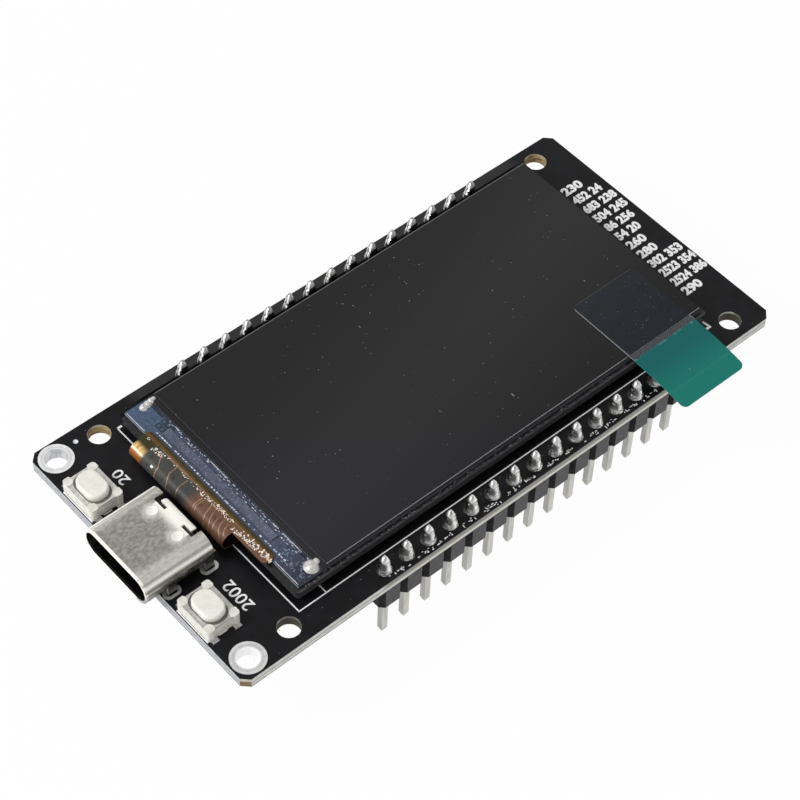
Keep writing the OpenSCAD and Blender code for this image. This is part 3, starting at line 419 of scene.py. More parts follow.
def edge_colour(s, level):
    """Cut laminate, darker along its middle, with painted light and shade by face direction: a cool tint on
    the USB-end face, paler on the near face, and painted shade at the top of the near face under the header.
    """
    facing = 0.8
    grain = s.noise(1.5, stretch=(1, 1, 6))
    fibre = s.ramp(grain, (0.40, 0.39, 0.32), (0.62, 0.60, 0.52))
    # Painted light: a cool tint on the faces turned to the USB end
    cool = s.ramp(grain, (0.36, 0.38, 0.40), (0.54, 0.56, 0.59))
    fibre = s.mix(s.below(s.tilt("X"), -facing), fibre, cool)
    # Painted shade under the near header: the near face is pale at its foot and dark at its top. Painted
    # light makes the rest of the near face paler
    header = s.ramp(s.size(s.minus(s.part("X"), PIN_X)), 1.0, 0.0, 18.2, 19.2)
    strip = s.ramp(level, (0.82, 0.81, 0.75), (0.27, 0.265, 0.245), -0.7, 0.7)
    strip = s.mix(s.ramp(grain, 0.0, 0.35), strip, (0.42, 0.41, 0.36))
    ends = s.ramp(grain, (0.58, 0.58, 0.555), (0.80, 0.80, 0.77))
    fibre = s.mix(s.below(s.tilt("Y"), -facing), fibre, s.mix(header, ends, strip))
    fibre = s.mix(s.below(s.size(level), 0.12), fibre, (0.24, 0.22, 0.17))
    return fibre


def hole_colour(s, level):
    """Amber walls with a painted highlight on the rim, and painted shade that makes the near holes nearly
    black.
    """
    across = s.part("Y")
    amber = s.ramp(s.noise(1.2, stretch=(1, 1, 3)), (0.18, 0.13, 0.06), (0.50, 0.37, 0.17))
    # Painted shade: the near holes' walls turn nearly black
    amber = s.mix(s.ramp(across, 0.92, 0.0, -1, 1), amber, (0.03, 0.026, 0.022))
    # Painted highlight: a pale rim at the top of the wall, strongest on faces turned to the near side
    rim = s.both(s.ramp(level, 0.0, 1.0, 0.70, 0.86), s.ramp(s.noise(1.2), 0.25, 0.9, 0.4, 0.6))
    rim = s.both(rim, s.ramp(s.tilt("Y"), 1.0, 0.4, -0.8, 0.2))
    return s.mix(rim, amber, (0.62, 0.61, 0.57))


def mask_material(name, low, high, holes=False):
    """Black solder mask on the faces, pale glass-fibre laminate on the cut edges, amber in the holes."""
    s = Shader(name)
    along, across, upright = s.part("X"), s.part("Y"), s.upright()
    level = s.ramp(s.part("Z"), -1.0, 1.0, low, high)

    # Painted shadow: the mask is black in the gap beside the display's far side, and painted light makes it
    # paler along the far edge
    mask = s.ramp(s.noise(0.6), (0.004, 0.004, 0.005), (0.007, 0.007, 0.009))
    beside = s.both(s.between(along, (-23, -21), (24, 26)), s.above(across, RIM_HIGH.y - 0.1))
    lit = s.ramp(across, 0.0, 1.0, PIN_Y + 0.15, PIN_Y + 0.3)
    mask = s.mix(beside, mask, s.mix(lit, (0.001, 0.001, 0.001), (0.026, 0.026, 0.027)))
    shine = s.choose(s.both(beside, s.choose(lit, 1.0, 0.0)), 0.25, 0.05)

    fibre = s.mix(s.above(s.size(level), 0.97), edge_colour(s, level), mask)
    slant = s.both(s.above(s.size(s.tilt("X")), 0.4), s.above(s.size(s.tilt("Y")), 0.4))
    fibre = s.mix(s.both(slant, s.below(level, 0.3)), fibre, (0.20, 0.14, 0.07))
    if holes:
        reach = s.length(s.minus(s.size(along), HOLE_X), s.minus(s.size(across), HOLE_Y))
        fibre = s.mix(s.below(reach, HOLE_R + 0.1), fibre, hole_colour(s, level))
    s.set(Base_Color=s.mix(upright, mask, fibre), Roughness=s.choose(upright, 0.36, 0.6),
          Specular_IOR_Level=shine)
    s.bump(s.noise(3.0), 0.06)
    return s.material


def steel_shader(name, low, high, rough, stretch=(0.4, 1, 1)):
    """Steel sheet with a fine rolled grain."""
    s = Shader(name)
    grain = s.noise(3.2, detail=3, stretch=stretch, rough=0.6)
    s.set(Base_Color=s.ramp(grain, low, high, 0.3, 0.7), Metallic=1.0,
          Roughness=s.math("ADD", s.ramp(grain, *rough), s.ramp(s.noise(0.5), -0.04, 0.05)))
    s.bump(s.noise(4, detail=1, stretch=stretch), 0.12, 0.02)
    return s


def shell_material(name):
    """The socket's shell: champagne steel with painted highlights at its far side, near top, rim, dimples and
    flap, painted dark bands and shade on its rolled side, and painted shade inside.
    """
    s = steel_shader(name, (0.44, 0.425, 0.375), (0.66, 0.64, 0.58), (0.28, 0.42), (0.7, 1, 1))
    along, side, up = s.part("X"), s.part("Y"), s.part("Z")
    across = s.size(side)
    rolled = s.below(side, -SOCKET_Y)

    # Painted highlights: pale places on the near top, in a band on the rolled side, on the far side, the
    # flap, the front lip and round the dimples
    near = s.both(s.ramp(side, 0.5, 0.0, -3.3, -2.2), s.ramp(up, 0.0, 1.0, SOCKET_Z + 0.6, SOCKET_Z + 0.9))
    band = s.both(s.stripe(up, SOCKET_Z + 0.91, 0.06, 0.17, 0.9), rolled)
    far = s.either(s.ramp(side, 0.0, 0.3, 2.4, 3.3), s.ramp(side, 0.0, 0.85, 3.6, 3.85))
    flap = s.both(s.ramp(along, 0.0, 1.0, SHELL_END_X - 2.4, SHELL_END_X - 0.9), s.below(across, 2.3))
    lip = s.either(s.below(s.tilt("X"), -0.4), s.below(along, SHELL_LOW.x + 0.22))
    dimple = s.length(s.minus(along, DIMPLE_X), s.minus(across, DIMPLE_Y))
    spot = s.either(s.ramp(dimple, 0.9, 0.0, 0.45, 0.62), s.ramp(dimple, 0.5, 0.0, 0.5, 1.4))
    pale = near
    for place in (band, far, flap, lip, spot):
        pale = s.either(pale, place)
    colour = s.mix(pale, s.colour(), (1.0, 0.98, 0.9))

    # Dark streaks along the near side, painted dark bands and painted shade on the rolled side, and painted
    # shade inside
    draw = s.noise(2.6, detail=2, stretch=(0.02, 1, 1))
    lines = s.both(s.ramp(draw, 0.0, 0.5, 0.5, 0.62), s.above(across, SOCKET_Y + 0.35))
    colour = s.mix(lines, colour, (0.12, 0.12, 0.11))
    # Painted dark bands on the rolled side, between its painted highlights
    for height in (0.62, 1.2):
        painted_dark_band = s.stripe(up, SOCKET_Z + height, 0.04, 0.12, 0.45)
        colour = s.mix(s.both(painted_dark_band, rolled), colour, (0.07, 0.07, 0.06))
    # Painted shade: darker low on the rolled side
    shade = s.ramp(up, 0.8, 0.0, SOCKET_Z - 0.4, SOCKET_Z + 0.4)
    colour = s.mix(s.both(shade, rolled), colour, (0.16, 0.15, 0.13))
    # Painted shade: nearly black inside the mouth
    beyond = s.either(s.minus(across, SOCKET_Y), 0.0)
    within = s.below(s.length(beyond, s.minus(up, SOCKET_Z)), SOCKET_R + 0.02)
    s.set(Base_Color=s.mix(within, colour, (0.014, 0.012, 0.012)), Metallic=s.choose(pale, 1.0, 0.08))
    return s.material


def cover_material(name, plunger, metal):
    """A button's steel cover, with painted shade darkening it in the gap round the plunger."""
    s = steel_shader(name, (0.66, 0.65, 0.61), (0.88, 0.87, 0.83), (0.25, 0.4))
    low, high = box_mm(plunger)
    middle, half = (low + high) / 2, (high - low) / 2
    gap = 0.13
    dx = s.minus(s.size(s.minus(s.part("X"), middle.x)), half.x - PLUNGER_R)
    dy = s.minus(s.size(s.minus(s.part("Y"), middle.y)), half.y - PLUNGER_R)
    reach = s.length(s.either(dx, 0.0), s.either(dy, 0.0))
    # Painted shade: dark in the gap round the plunger
    colour = s.mix(s.below(reach, PLUNGER_R + gap), s.colour(), (0.2, 0.2, 0.18))
    return s.set(Base_Color=colour, Metallic=metal).material


def panel_material(name, near_edge, dust_and_sheen=False):
    """The dark, glossy display panel with a painted bluish reflection towards the USB end and near side, and
    cut edges painted pale or dim by their direction. Its film has clustered dust, scratches and a painted
    highlight along its far edge.
    """
    s = Shader(name)
    # Painted reflection: a bluish tint towards the USB end and the near side
    slope = s.math("ADD", s.both(s.part("X"), 0.6), s.both(s.part("Y"), 0.8))
    colour = s.ramp(slope, (0.0068, 0.0060, 0.0105), (0.0062, 0.0060, 0.0064), -15, -4)
    upright = s.upright()
    matt = upright
    if dust_and_sheen:
        cluster = s.ramp(s.noise(0.16, detail=2), 0.1, 1.0, 0.42, 0.62)
        dust = s.either(s.specks(1.6, 0.1, 0.16), s.specks(1.1, 0.09, 0.07, stretch=(1, 0.35, 1)))
        dust = s.both(s.either(dust, s.specks(3.2, 0.13, 0.06)), cluster)
        colour = s.mix(s.both(dust, 0.5), colour, (0.42, 0.42, 0.43))
        matt = s.either(upright, dust)
        # Painted highlight: a pale line along the film's far edge
        far_edge_highlight = s.above(s.part("Y"), FILM_HIGH.y - 0.07)
        colour = s.mix(far_edge_highlight, colour, (0.16, 0.16, 0.17))
    # Cut edges coloured by face direction, partly painted light and shade: dim on faces turned to the USB
    # end, near_edge on those turned to the near side
    cut = s.ramp(s.tilt("X"), (0.06, 0.06, 0.07), (0.22, 0.22, 0.24), -0.8, -0.4)
    cut = s.mix(s.below(s.tilt("Y"), -0.5), cut, (near_edge, near_edge, near_edge * 1.06))
    s.set(Base_Color=s.mix(upright, colour, cut), Roughness=s.choose(matt, 0.07, 0.4), IOR=1.5)
    return s.material


def plating_material(name):
    """Tin on the rings with two faint darker circles; painted light makes the far ring's hole wall whiter and
    duller.
    """
    s = Shader(name)
    across, grain, upright = s.part("Y"), s.noise(1.5), s.upright()
    far = s.ramp(across, 0.0, 1.0, 8, 12)
    face = s.ramp(grain, (0.84, 0.84, 0.82), (0.95, 0.95, 0.95))
    reach = s.length(s.minus(s.part("X"), RING_X), s.minus(s.size(across), RING_Y))
    for radius, share in ((1.32, 0.3), (1.72, 0.2)):
        face = s.mix(s.stripe(reach, radius, 0.03, 0.12, share), face, (0.42, 0.43, 0.45))
    wall = s.ramp(s.noise(1.1, stretch=(1, 1, 0.4)), (0.42, 0.43, 0.46), (0.80, 0.81, 0.83))
    # Painted light: the far ring's hole wall is white
    wall = s.mix(far, (0.97, 0.97, 0.97), wall)
    s.set(Base_Color=s.mix(upright, face, wall), Roughness=s.ramp(grain, 0.28, 0.38),
          Metallic=s.choose(s.both(far, s.no(upright)), 0.6, 0.3))
    s.bump(s.noise(4.5), 0.03)
    return s.material


def frame_material(name):
    """The backlight's frame: paler along its near rim with dust and a painted highlight, and painted shade
    that makes it black along its far one.
    """
    s = Shader(name)
    across, grain = s.part("Y"), s.noise(2.0)
    rim = 0.5
    colour = s.ramp(grain, (0.014, 0.014, 0.015), (0.022, 0.022, 0.023))
    # Paler on the near rim's top faces: dust and a painted highlight
    dust_and_sheen = s.both(s.ramp(across, 1.0, 0.3, RIM_LOW.y + 0.15, RIM_LOW.y + 0.35), s.no(s.upright()))
    dust_and_sheen = s.both(dust_and_sheen, s.below(across, RIM_LOW.y + rim))
    colour = s.mix(dust_and_sheen, colour, s.ramp(grain, (0.036, 0.035, 0.041), (0.064, 0.062, 0.070)))
    # Painted shade: black along the far rim
    black = s.above(across, RIM_HIGH.y - rim)
    s.set(Base_Color=s.mix(black, colour, (0.004, 0.004, 0.0045)), Roughness=s.ramp(grain, 0.35, 0.5),
          Specular_IOR_Level=s.choose(black, 0.5, 0.15))
    s.bump(s.noise(6.0), 0.05)
    return s.material


def ledge_material(name):
    """Rear glass: steel blue where its ledge is bare, with fine printed lines and painted shade beside the
    front glass. Its cut edges are pale, partly painted light, with painted shade on those facing the near
    side.
    """
    s = Shader(name)
    across = s.part("Y")
    dark = (0.010, 0.016, 0.03)
    blue = s.ramp(across, (0.018, 0.025, 0.047), (0.058, 0.073, 0.125), -11.5, -7)
    blue = s.mix(s.ramp(across, 0.0, 1.0, 6, 11), blue, (0.062, 0.098, 0.17))
    lines = s.noise(2.2, detail=4, stretch=(2.5, 0.8, 1), rough=0.7)
    blue = s.mix(s.ramp(lines, 0.0, 0.8, 0.5, 0.68), blue, dark)
    pale = s.noise(2.6, detail=5, stretch=(2, 1, 1), rough=0.75)
    blue = s.mix(s.ramp(pale, 0.0, 0.9, 0.56, 0.7), blue, (0.2, 0.24, 0.33))
    # Painted shade: darker beside the front glass
    blue = s.mix(s.ramp(s.part("X"), 0.0, 0.75, FRONT_LOW.x - 0.35, FRONT_LOW.x - 0.1), blue, dark)
    # Cut edges pale, partly their own look and partly painted light; painted shade on those turned to the
    # near side
    cut = s.mix(s.below(s.tilt("Y"), -0.5), (0.3, 0.33, 0.36), (0.07, 0.07, 0.08))
    s.set(Base_Color=s.mix(s.upright(), blue, cut), Roughness=s.ramp(lines, 0.1, 0.3))
    return s.material


def chip_material(name):
    """The bare driver chip: grey-blue, with a speckled back."""
    s = Shader(name)
    cloud = s.ramp(s.noise(0.5, stretch=(1, 0.4, 1)), (0.075, 0.09, 0.135), (0.115, 0.13, 0.175))
    pits = s.noise(4.5, detail=5, rough=0.75)
    colour = s.mix(s.ramp(pits, 0.0, 0.8, 0.55, 0.68), cloud, (0.03, 0.036, 0.06))
    colour = s.mix(s.ramp(pits, 0.7, 0.0, 0.32, 0.45), colour, (0.24, 0.27, 0.34))
    return s.set(Base_Color=colour, Roughness=s.ramp(pits, 0.15, 0.35)).material


def flex_material(name):
    """The flex: amber strip where it is bonded, dark grey to brown tail, gold with a painted glow and
    highlight at the bend's far end, and painted shade inside the bend.
    """
    s = Shader(name)
    along, across = s.part("X"), s.part("Y")
    grain = s.noise(1.6, detail=4)
    tail = s.ramp(across, (0.160, 0.078, 0.045), (0.058, 0.058, 0.053), 1.0, 2.0)
    tail = s.mix(s.ramp(grain, 0.0, 0.6, 0.5, 0.75), tail, (0.02, 0.014, 0.01))
    bond = s.ramp(along, (0.17, 0.080, 0.040), (0.125, 0.066, 0.012), BOND_X - 0.75, BOND_X - 0.45)
    bond = s.mix(s.ramp(along, 0.0, 1.0, BOND_X - 0.42, BOND_X - 0.15), bond, (0.045, 0.034, 0.010))
    bond = s.mix(s.ramp(grain, 0.0, 0.7, 0.5, 0.7), bond, (0.045, 0.024, 0.006))
    start = s.ramp(s.noise(1.2), TAIL_X - 0.25, TAIL_X + 0.1)
    colour = s.mix(s.above(along, start), tail, bond)

    # The tail's far end: olive film, then gold leaf brightened into a painted glow, with a painted highlight
    # line along the bend
    olive = s.both(s.ramp(across, 0.0, 1.0, 7.7, 8.2), s.below(along, TAIL_X))
    colour = s.mix(olive, colour, (0.035, 0.032, 0.008))
    gold = s.both(olive, s.ramp(along, 1.0, 0.0, TAIL_X - 1.35, TAIL_X - 0.75))
    leaf = s.ramp(s.noise(2.0, stretch=(0.5, 2, 1)), (0.50, 0.27, 0.07), (0.80, 0.56, 0.24))
    leaf = s.mix(s.ramp(along, 1.0, 0.0, TAIL_X - 1.85, TAIL_X - 1.65), leaf, (0.33, 0.10, 0.015))
    shine = s.between(along, (TAIL_X - 1.75, TAIL_X - 1.66), (TAIL_X - 1.6, TAIL_X - 1.5))
    colour = s.mix(gold, colour, s.mix(shine, leaf, (1.0, 0.9, 0.66)))

    # Painted shade: dark inside the bend
    turn = s.math("MINIMUM", s.minus(along, BEND.x), 0.0)
    inside = s.below(s.length(turn, s.minus(s.part("Z"), BEND.z)), BEND_R - 0.06)
    s.set(Base_Color=s.mix(inside, colour, (0.018, 0.009, 0.005)), Roughness=s.choose(gold, 0.45, 0.15),
          Specular_IOR_Level=s.choose(gold, 0.3, 0.6))
    return s.material


def liner_colour(s):
    """Green, deeper by the panel, with faint scratches and a ragged pale line where the liner was cut."""
    across = s.part("Y")
    low, high = LINER_LOW.y, LINER_HIGH.y
    green = s.ramp(across, (0.011, 0.192, 0.156), (0.007, 0.122, 0.118), low + 1, high - 1)
    # Painted highlight: a pale line along the liner's crease
    green = s.mix(s.stripe(across, low + 1.9, 0.03, 0.12, 0.12), green, (0.08, 0.30, 0.26))
    ragged = s.above(s.math("ADD", across, s.ramp(s.noise(1.5, detail=4), -0.3, 0.2)), high - 0.06)
    scratch = s.both(s.specks(1.2, 0.07, 0.12, stretch=(1, 0.3, 1)), 0.5)
    return s.mix(s.either(s.both(ragged, 0.45), scratch), green, (0.13, 0.28, 0.27))


def tab_material(name):
    """The clear pull tab: blue-black on the panel, grey past it, green over its liner, with painted
    highlights at its edges.
    """
    s = Shader(name)
    across, upright = s.part("Y"), s.upright()
    free = s.below(across, FILM_LOW.y - 0.05)
    lined = s.below(across, LINER_HIGH.y)
    edge = 0.08
    cloud = s.noise(0.8, detail=4)
    dust = s.both(s.specks(2.2, 0.13, 0.5), s.ramp(cloud, 0.2, 0.9, 0.4, 0.65))
    panel = s.ramp(cloud, (0.004, 0.007, 0.012), (0.006, 0.010, 0.016))
    panel = s.mix(s.both(dust, 0.6), panel, (0.25, 0.28, 0.32))
    # Painted highlights along the tab's far and USB-end edges
    panel = s.mix(s.above(across, TAB_HIGH.y - edge), panel, (0.035, 0.038, 0.042))
    panel = s.mix(s.below(s.part("X"), TAB_LOW.x + edge), panel, (0.12, 0.13, 0.14))
    colour = s.mix(free, panel, s.mix(lined, (0.36, 0.38, 0.42), liner_colour(s)))
    # Painted highlight on its upright edges past the liner
    colour = s.mix(s.both(upright, s.no(lined)), colour, (0.5, 0.52, 0.55))
    clear = s.both(s.both(free, s.no(lined)), s.no(upright))
    s.set(Base_Color=colour, Roughness=s.choose(free, 0.1, 0.4), Specular_IOR_Level=s.choose(free, 0.5, 0.2),
          Alpha=s.choose(clear, 1.0, 0.1))
    return s.material


def liner_material(name):
    """The green liner under the tab's free end."""
    s = Shader(name)
    colour = s.mix(s.upright(), liner_colour(s), (0.05, 0.30, 0.26))
    return s.set(Base_Color=colour, Roughness=0.4, Specular_IOR_Level=0.2).material


def strip_material(name):
    """The headers' plastic: satin on the long faces, with painted shade in the notches between the ways."""
    s = Shader(name)
    grain = s.noise(2.0)
    notch_shade = s.above(s.size(s.tilt("X")), 0.3)
    face = s.ramp(grain, (0.042, 0.042, 0.046), (0.060, 0.060, 0.065))
    s.set(Base_Color=s.mix(notch_shade, face, (0.007, 0.007, 0.008)), Roughness=s.ramp(grain, 0.45, 0.6),
          Specular_IOR_Level=s.choose(notch_shade, 0.4, 0.1))
    s.bump(s.noise(6.0), 0.1)
    return s.material


def joint_colour(s):
    """Tin on the header joints with painted shade and light: the near row shaded on one side and in a crease
    at the neck, the far row shaded but for a lit streak, its tip and its far side.
    """
    (side, front), up = s.off_pin(), s.part("Z")
    flux = s.ramp(s.noise(2.0, detail=4, rough=0.65), 0.0, 0.75, 0.48, 0.68)
    tin = s.mix(flux, (0.96, 0.95, 0.93), (0.36, 0.35, 0.33))
    tip = s.ramp(up, 0.0, 1.0, NECK_Z, NECK_Z + 0.15)

    # The near row: painted shade on its USB-end side and in a crease at the neck, less on the tip
    near_row_shade = s.both(s.ramp(side, 0.95, 0.0, -0.3, 0.08), s.choose(tip, 1.0, 0.45))
    near_row_shade = s.either(near_row_shade, s.stripe(up, NECK_Z, 0.04, 0.16, 0.5))
    near_row_shade = s.both(near_row_shade, s.ramp(up, 0.6, 1.0, 1.4, 1.9))
    near = s.mix(near_row_shade, tin, (0.05, 0.05, 0.05))

    # The far row: painted shade but for a lit streak, the tip and its far side
    streak = s.both(s.stripe(front, -0.05, 0.08, 0.18), s.ramp(up, 0.0, 1.0, 1.5, 1.8))
    lit = s.either(s.both(streak, s.below(side, 0.0)), s.both(tip, 0.6))
    lit = s.either(lit, s.ramp(front, 0.0, 1.0, 0.1, 0.3))
    far = s.mix(lit, (0.03, 0.03, 0.032), tin)
    return s.mix(s.above(s.part("Y"), 0.0), near, far)


def joint_material(name):
    """Satin solder that runs up the header pins."""
    s = Shader(name)
    s.set(Base_Color=joint_colour(s), Metallic=1.0, Roughness=s.ramp(s.noise(2.0), 0.25, 0.42))
    s.bump(s.noise(2.4, detail=2), 0.6, 0.25, normal=s.round_normal(0.3))
    return s.material


def pin_material(name):
    """Pale plated pins with drawn grain and painted shade on the sides facing ±X, tinned grey above the board
    with the joints' painted shade and light.
    """
    s = Shader(name)
    drawn = (1, 1, 0.2)
    grain = s.noise(2.0, stretch=drawn)
    tinned = s.above(s.part("Z"), BOARD_HIGH.z)
    bright = s.ramp(grain, (0.46, 0.45, 0.42), (0.63, 0.62, 0.58))
    dull = s.ramp(grain, (0.30, 0.295, 0.28), (0.43, 0.425, 0.405))
    # Painted shade: duller on the sides turned to ±X
    plated = s.mix(s.above(s.size(s.tilt("X")), 0.5), bright, dull)
    s.set(Base_Color=s.mix(tinned, plated, joint_colour(s)), Metallic=1.0,
          Roughness=s.either(s.ramp(grain, 0.25, 0.42), s.both(tinned, 0.4)))
    flat = s.add("ShaderNodeNewGeometry").outputs["Normal"]
    s.bump(s.noise(6.0, stretch=drawn), 0.1, normal=s.mix(tinned, flat, s.round_normal(0.25)))
    return s.material


def solder_material(name):
    """Satin solder with a lumpy skin and dull flux in places."""
    s = Shader(name)
    flux = s.ramp(s.noise(1.3, detail=4), 0.0, 0.8, 0.55, 0.75)
    s.set(Base_Color=s.mix(flux, (0.66, 0.65, 0.63), (0.26, 0.25, 0.22)), Metallic=1.0,
          Roughness=s.choose(flux, 0.14, 0.4))
    s.bump(s.noise(2.2, detail=2), 0.6, 0.25)
    return s.material


def steel_material(name, low, high, rough):
    """Plain steel sheet."""
    return steel_shader(name, low, high, rough).material


# Materials of the CAD nodes by slot, then of the nodes that have one of their own
MATERIALS = {
    "solder_mask": mask_material("solder_mask", BOARD_LOW.z, BOARD_HIGH.z, holes=True),
    "module_mask": mask_material("module_mask", MODULE_LOW.z, MODULE_HIGH.z),
    "tin_plating": plating_material("tin_plating"),
    "foam_tape": plain("foam_tape", (0.012, 0.012, 0.013), (0.02, 0.02, 0.021), (0.8, 0.95), 0.0, 6, 0.4),
    "frame_plastic": frame_material("frame_plastic"),
    "white_film": plain("white_film", (0.8, 0.8, 0.8), (0.9, 0.9, 0.9), (0.5, 0.6)),
    "light_guide_acrylic": plain("light_guide_acrylic", (0.75, 0.8, 0.8), (0.85, 0.9, 0.9), (0.1, 0.2)),
    "lamp_resin": plain("lamp_resin", (0.75, 0.65, 0.2), (0.9, 0.8, 0.35), (0.4, 0.6)),
    "black_tape": plain("black_tape", (0.006, 0.006, 0.006), (0.01, 0.01, 0.01), (0.5, 0.7)),
    "polariser_film": panel_material("polariser_film", 0.3),
    "rear_panel_glass": ledge_material("rear_panel_glass"),
    "front_panel_glass": panel_material("front_panel_glass", 0.03),
    "clear_film": panel_material("clear_film", 0.6, dust_and_sheen=True),
    "tab_film": tab_material("tab_film"),
    "green_liner": liner_material("green_liner"),
    "silicon": chip_material("silicon"),
    "flex_film": flex_material("flex_film"),
    "paste": plain("paste", (0.5, 0.49, 0.47), (0.7, 0.69, 0.67), (0.35, 0.5), 0.3, 4, 0.5),
    "solder": solder_material("solder"),
    "shell_steel": shell_material("shell_steel"),
    "socket_plastic": plain("socket_plastic", (0.008, 0.008, 0.009), (0.014, 0.014, 0.015), (0.45, 0.6)),
    "contact_gilt": plain("contact_gilt", (0.7, 0.5, 0.18), (0.9, 0.7, 0.3), (0.2, 0.35), 1.0),
    "button_plastic": plain("button_plastic", (0.70, 0.68, 0.61), (0.80, 0.79, 0.73), (0.45, 0.6), bump=0.05),
    "plunger_plastic": plain("plunger_plastic", (0.78, 0.78, 0.71), (0.84, 0.84, 0.77), (0.35, 0.5),
                             bump=0.05),
    "cover_steel": cover_material("cover_steel", "reset_plunger", 0.6),
    "dome_steel": steel_material("dome_steel", (0.5, 0.5, 0.5), (0.7, 0.7, 0.7), (0.2, 0.3)),
    "lead_tin": plain("lead_tin", (0.6, 0.6, 0.6), (0.78, 0.78, 0.78), (0.25, 0.4), 1.0, 3),
    "strip_plastic": strip_material("strip_plastic"),
    "pin_metal": pin_material("pin_metal"),
    "shield_metal": steel_material("shield_metal", (0.6, 0.6, 0.6), (0.76, 0.76, 0.76), (0.25, 0.4)),
    "chip_epoxy": plain("chip_epoxy", (0.012, 0.012, 0.013), (0.022, 0.022, 0.024), (0.5, 0.7), 0.0, 5, 0.2),
    "crystal_lid": steel_material("crystal_lid", (0.6, 0.57, 0.5), (0.75, 0.72, 0.65), (0.25, 0.4)),
    "trace_copper": plain("trace_copper", (0.45, 0.25, 0.10), (0.62, 0.38, 0.17), (0.3, 0.45), 0.6),
    "capacitor_ceramic": plain("capacitor_ceramic", (0.3, 0.2, 0.12), (0.4, 0.29, 0.18), (0.4, 0.6)),
    "resistor_coat": plain("resistor_coat", (0.008, 0.008, 0.008), (0.015, 0.015, 0.015), (0.3, 0.5)),
    "red_lens": plain("red_lens", (0.5, 0.06, 0.04), (0.65, 0.1, 0.07), (0.15, 0.3)),
}
JOINT = joint_material("joint_solder")
OWN = {
    "boot_cover": cover_material("boot_cover_steel", "boot_plunger", 0.9),
    "near_solder": JOINT,
    "far_solder": JOINT,
}
for part in frame["record"]["subparts"]:
    node = frame["nodes"][part["node"]]
    node.data.materials.clear()
    node.data.materials.append(OWN.get(part["node"], MATERIALS[part["material_slot"]]))

# Materials of the added pieces
INK = plain("white_ink", (0.82, 0.82, 0.82), (0.96, 0.96, 0.96), (0.5, 0.65), per_mm=6)
GLINT = plain("glint", (0.45, 0.48, 0.55), (0.85, 0.87, 0.9), (0.2, 0.4), per_mm=3)
DUST = plain("dust", (0.06, 0.06, 0.06), (0.2, 0.2, 0.2), (0.7, 0.9), per_mm=6)
SPECK = plain("speck", (0.90, 0.66, 0.48), (1.0, 0.98, 0.93), (0.3, 0.45), per_mm=4)
FLEX_COPPER = plain("flex_copper", (0.26, 0.15, 0.09), (0.42, 0.25, 0.16), (0.35, 0.5), metal=0.2)
GLASS_SPOT = plain("glass_spot", (0.05, 0.06, 0.11), (0.26, 0.33, 0.42), (0.3, 0.5), per_mm=3)
DARK_PRINT = plain("dark_print", (0.012, 0.018, 0.03), (0.02, 0.03, 0.045), (0.2, 0.3), per_mm=3)

# The snap domes: each copied with a mesh of its own onto its press joint's parent body, in place of the CAD
# dome
for joint in frame["joints"]:
    name = joint["name"].replace("_press", "_dome")
    dome = bpy.data.objects.new(joint["name"] + "ed_dome", frame["nodes"][name].data.copy())
    bpy.context.collection.objects.link(dome)
    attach(dome, joint["parent"])
    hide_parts(name)
    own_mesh(dome)

# Printed lines on the board: the two ends of each stroke and its width
DISPLAY_OUTLINE = (
    ((8.07, -12.82), (8.07, 12.99), 0.12),
    ((8.07, 12.99), (8.55, 12.98), 0.22),
    ((8.0, -12.83), (57.2, -12.83), 0.12),
    ((57.2, -12.83), (58.28, -12.83), 0.23),
    ((58.16, -12.71), (58.08, -11.97), 0.24),
    ((11.12, -11.78), (11.11, -12.79), 0.12),
)
ink = Solid()
for a, b, width in DISPLAY_OUTLINE:
    ink.line(rel(*a), rel(*b), width)
ink.piece("display_outline_ink", INK)

BUTTON_LINE_Y, BUTTON_LINE, BUTTON_LINE_W = (6.0, -10.35), 4.3, 0.1
ink = Solid()
for y in BUTTON_LINE_Y:
    ink.line(rel(0.12, y), rel(0.12, y + BUTTON_LINE), BUTTON_LINE_W)
    ink.line(rel(1.35, y), rel(2.25, y), BUTTON_LINE_W)
ink.piece("button_outline_ink", INK)

# Plain numbers in place of the words: each row's digits and where they end
ROWS = (
    ("230", 61.75), ("452 24", 62.9), ("683 238", 63.45), ("504 245", 63.45),
    ("86 256", 62.9), ("54 20", 62.3), ("260", 61.6), ("280", 61.6),
    ("302 353", 63.45), ("2523 354", 63.7), ("2524 386", 63.7), ("290", 61.6),
)
ROW_X, ROW_Y, ROW_STEP, ROW_H = 59.3, 8.57, 1.525, 1.1
TICK_ROWS, TICK_X, TICK, TICK_W = (0, 2), 58.75, 0.45, 0.25
TO_FAR_END, TO_USB_END, TO_FAR_SIDE = Vector((1, 0, 0)), Vector((-1, 0, 0)), Vector((0, 1, 0))
ink = Solid()
for i, (digits, end) in enumerate(ROWS):
    foot = ROW_Y - ROW_STEP * i - ROW_H / 2
    ink.number(digits, rel(ROW_X, foot), TO_FAR_END, TO_FAR_SIDE, (end - ROW_X, ROW_H))
    if i in TICK_ROWS:
        ink.line(rel(TICK_X, foot), rel(TICK_X, foot + TICK), TICK_W)
ink.piece("row_numbers", INK)

THIN = 0.01
ink = Solid()
ink.number("20", rel(5.55, 7.55), TO_FAR_SIDE, TO_USB_END, (1.7, 1.1), THIN)
ink.number("2002", rel(5.7, -9.9), TO_FAR_SIDE, TO_USB_END, (3.4, 1.2), THIN)
ink.piece("button_numbers", INK)

# Two runs of random numbers: marks draws the print between the pins and the finest specks on the flex
rng = random.Random(7)
marks = random.Random(11)
QUARTER = 1.57


def any_way(draw):
    return draw.uniform(0, 3.1)


def as_text(draw):
    return draw.choice((0, 0, 0, QUARTER))


def as_print(draw):
    return draw.choice((0.0, 0.8, QUARTER))


def as_row(draw):
    return QUARTER


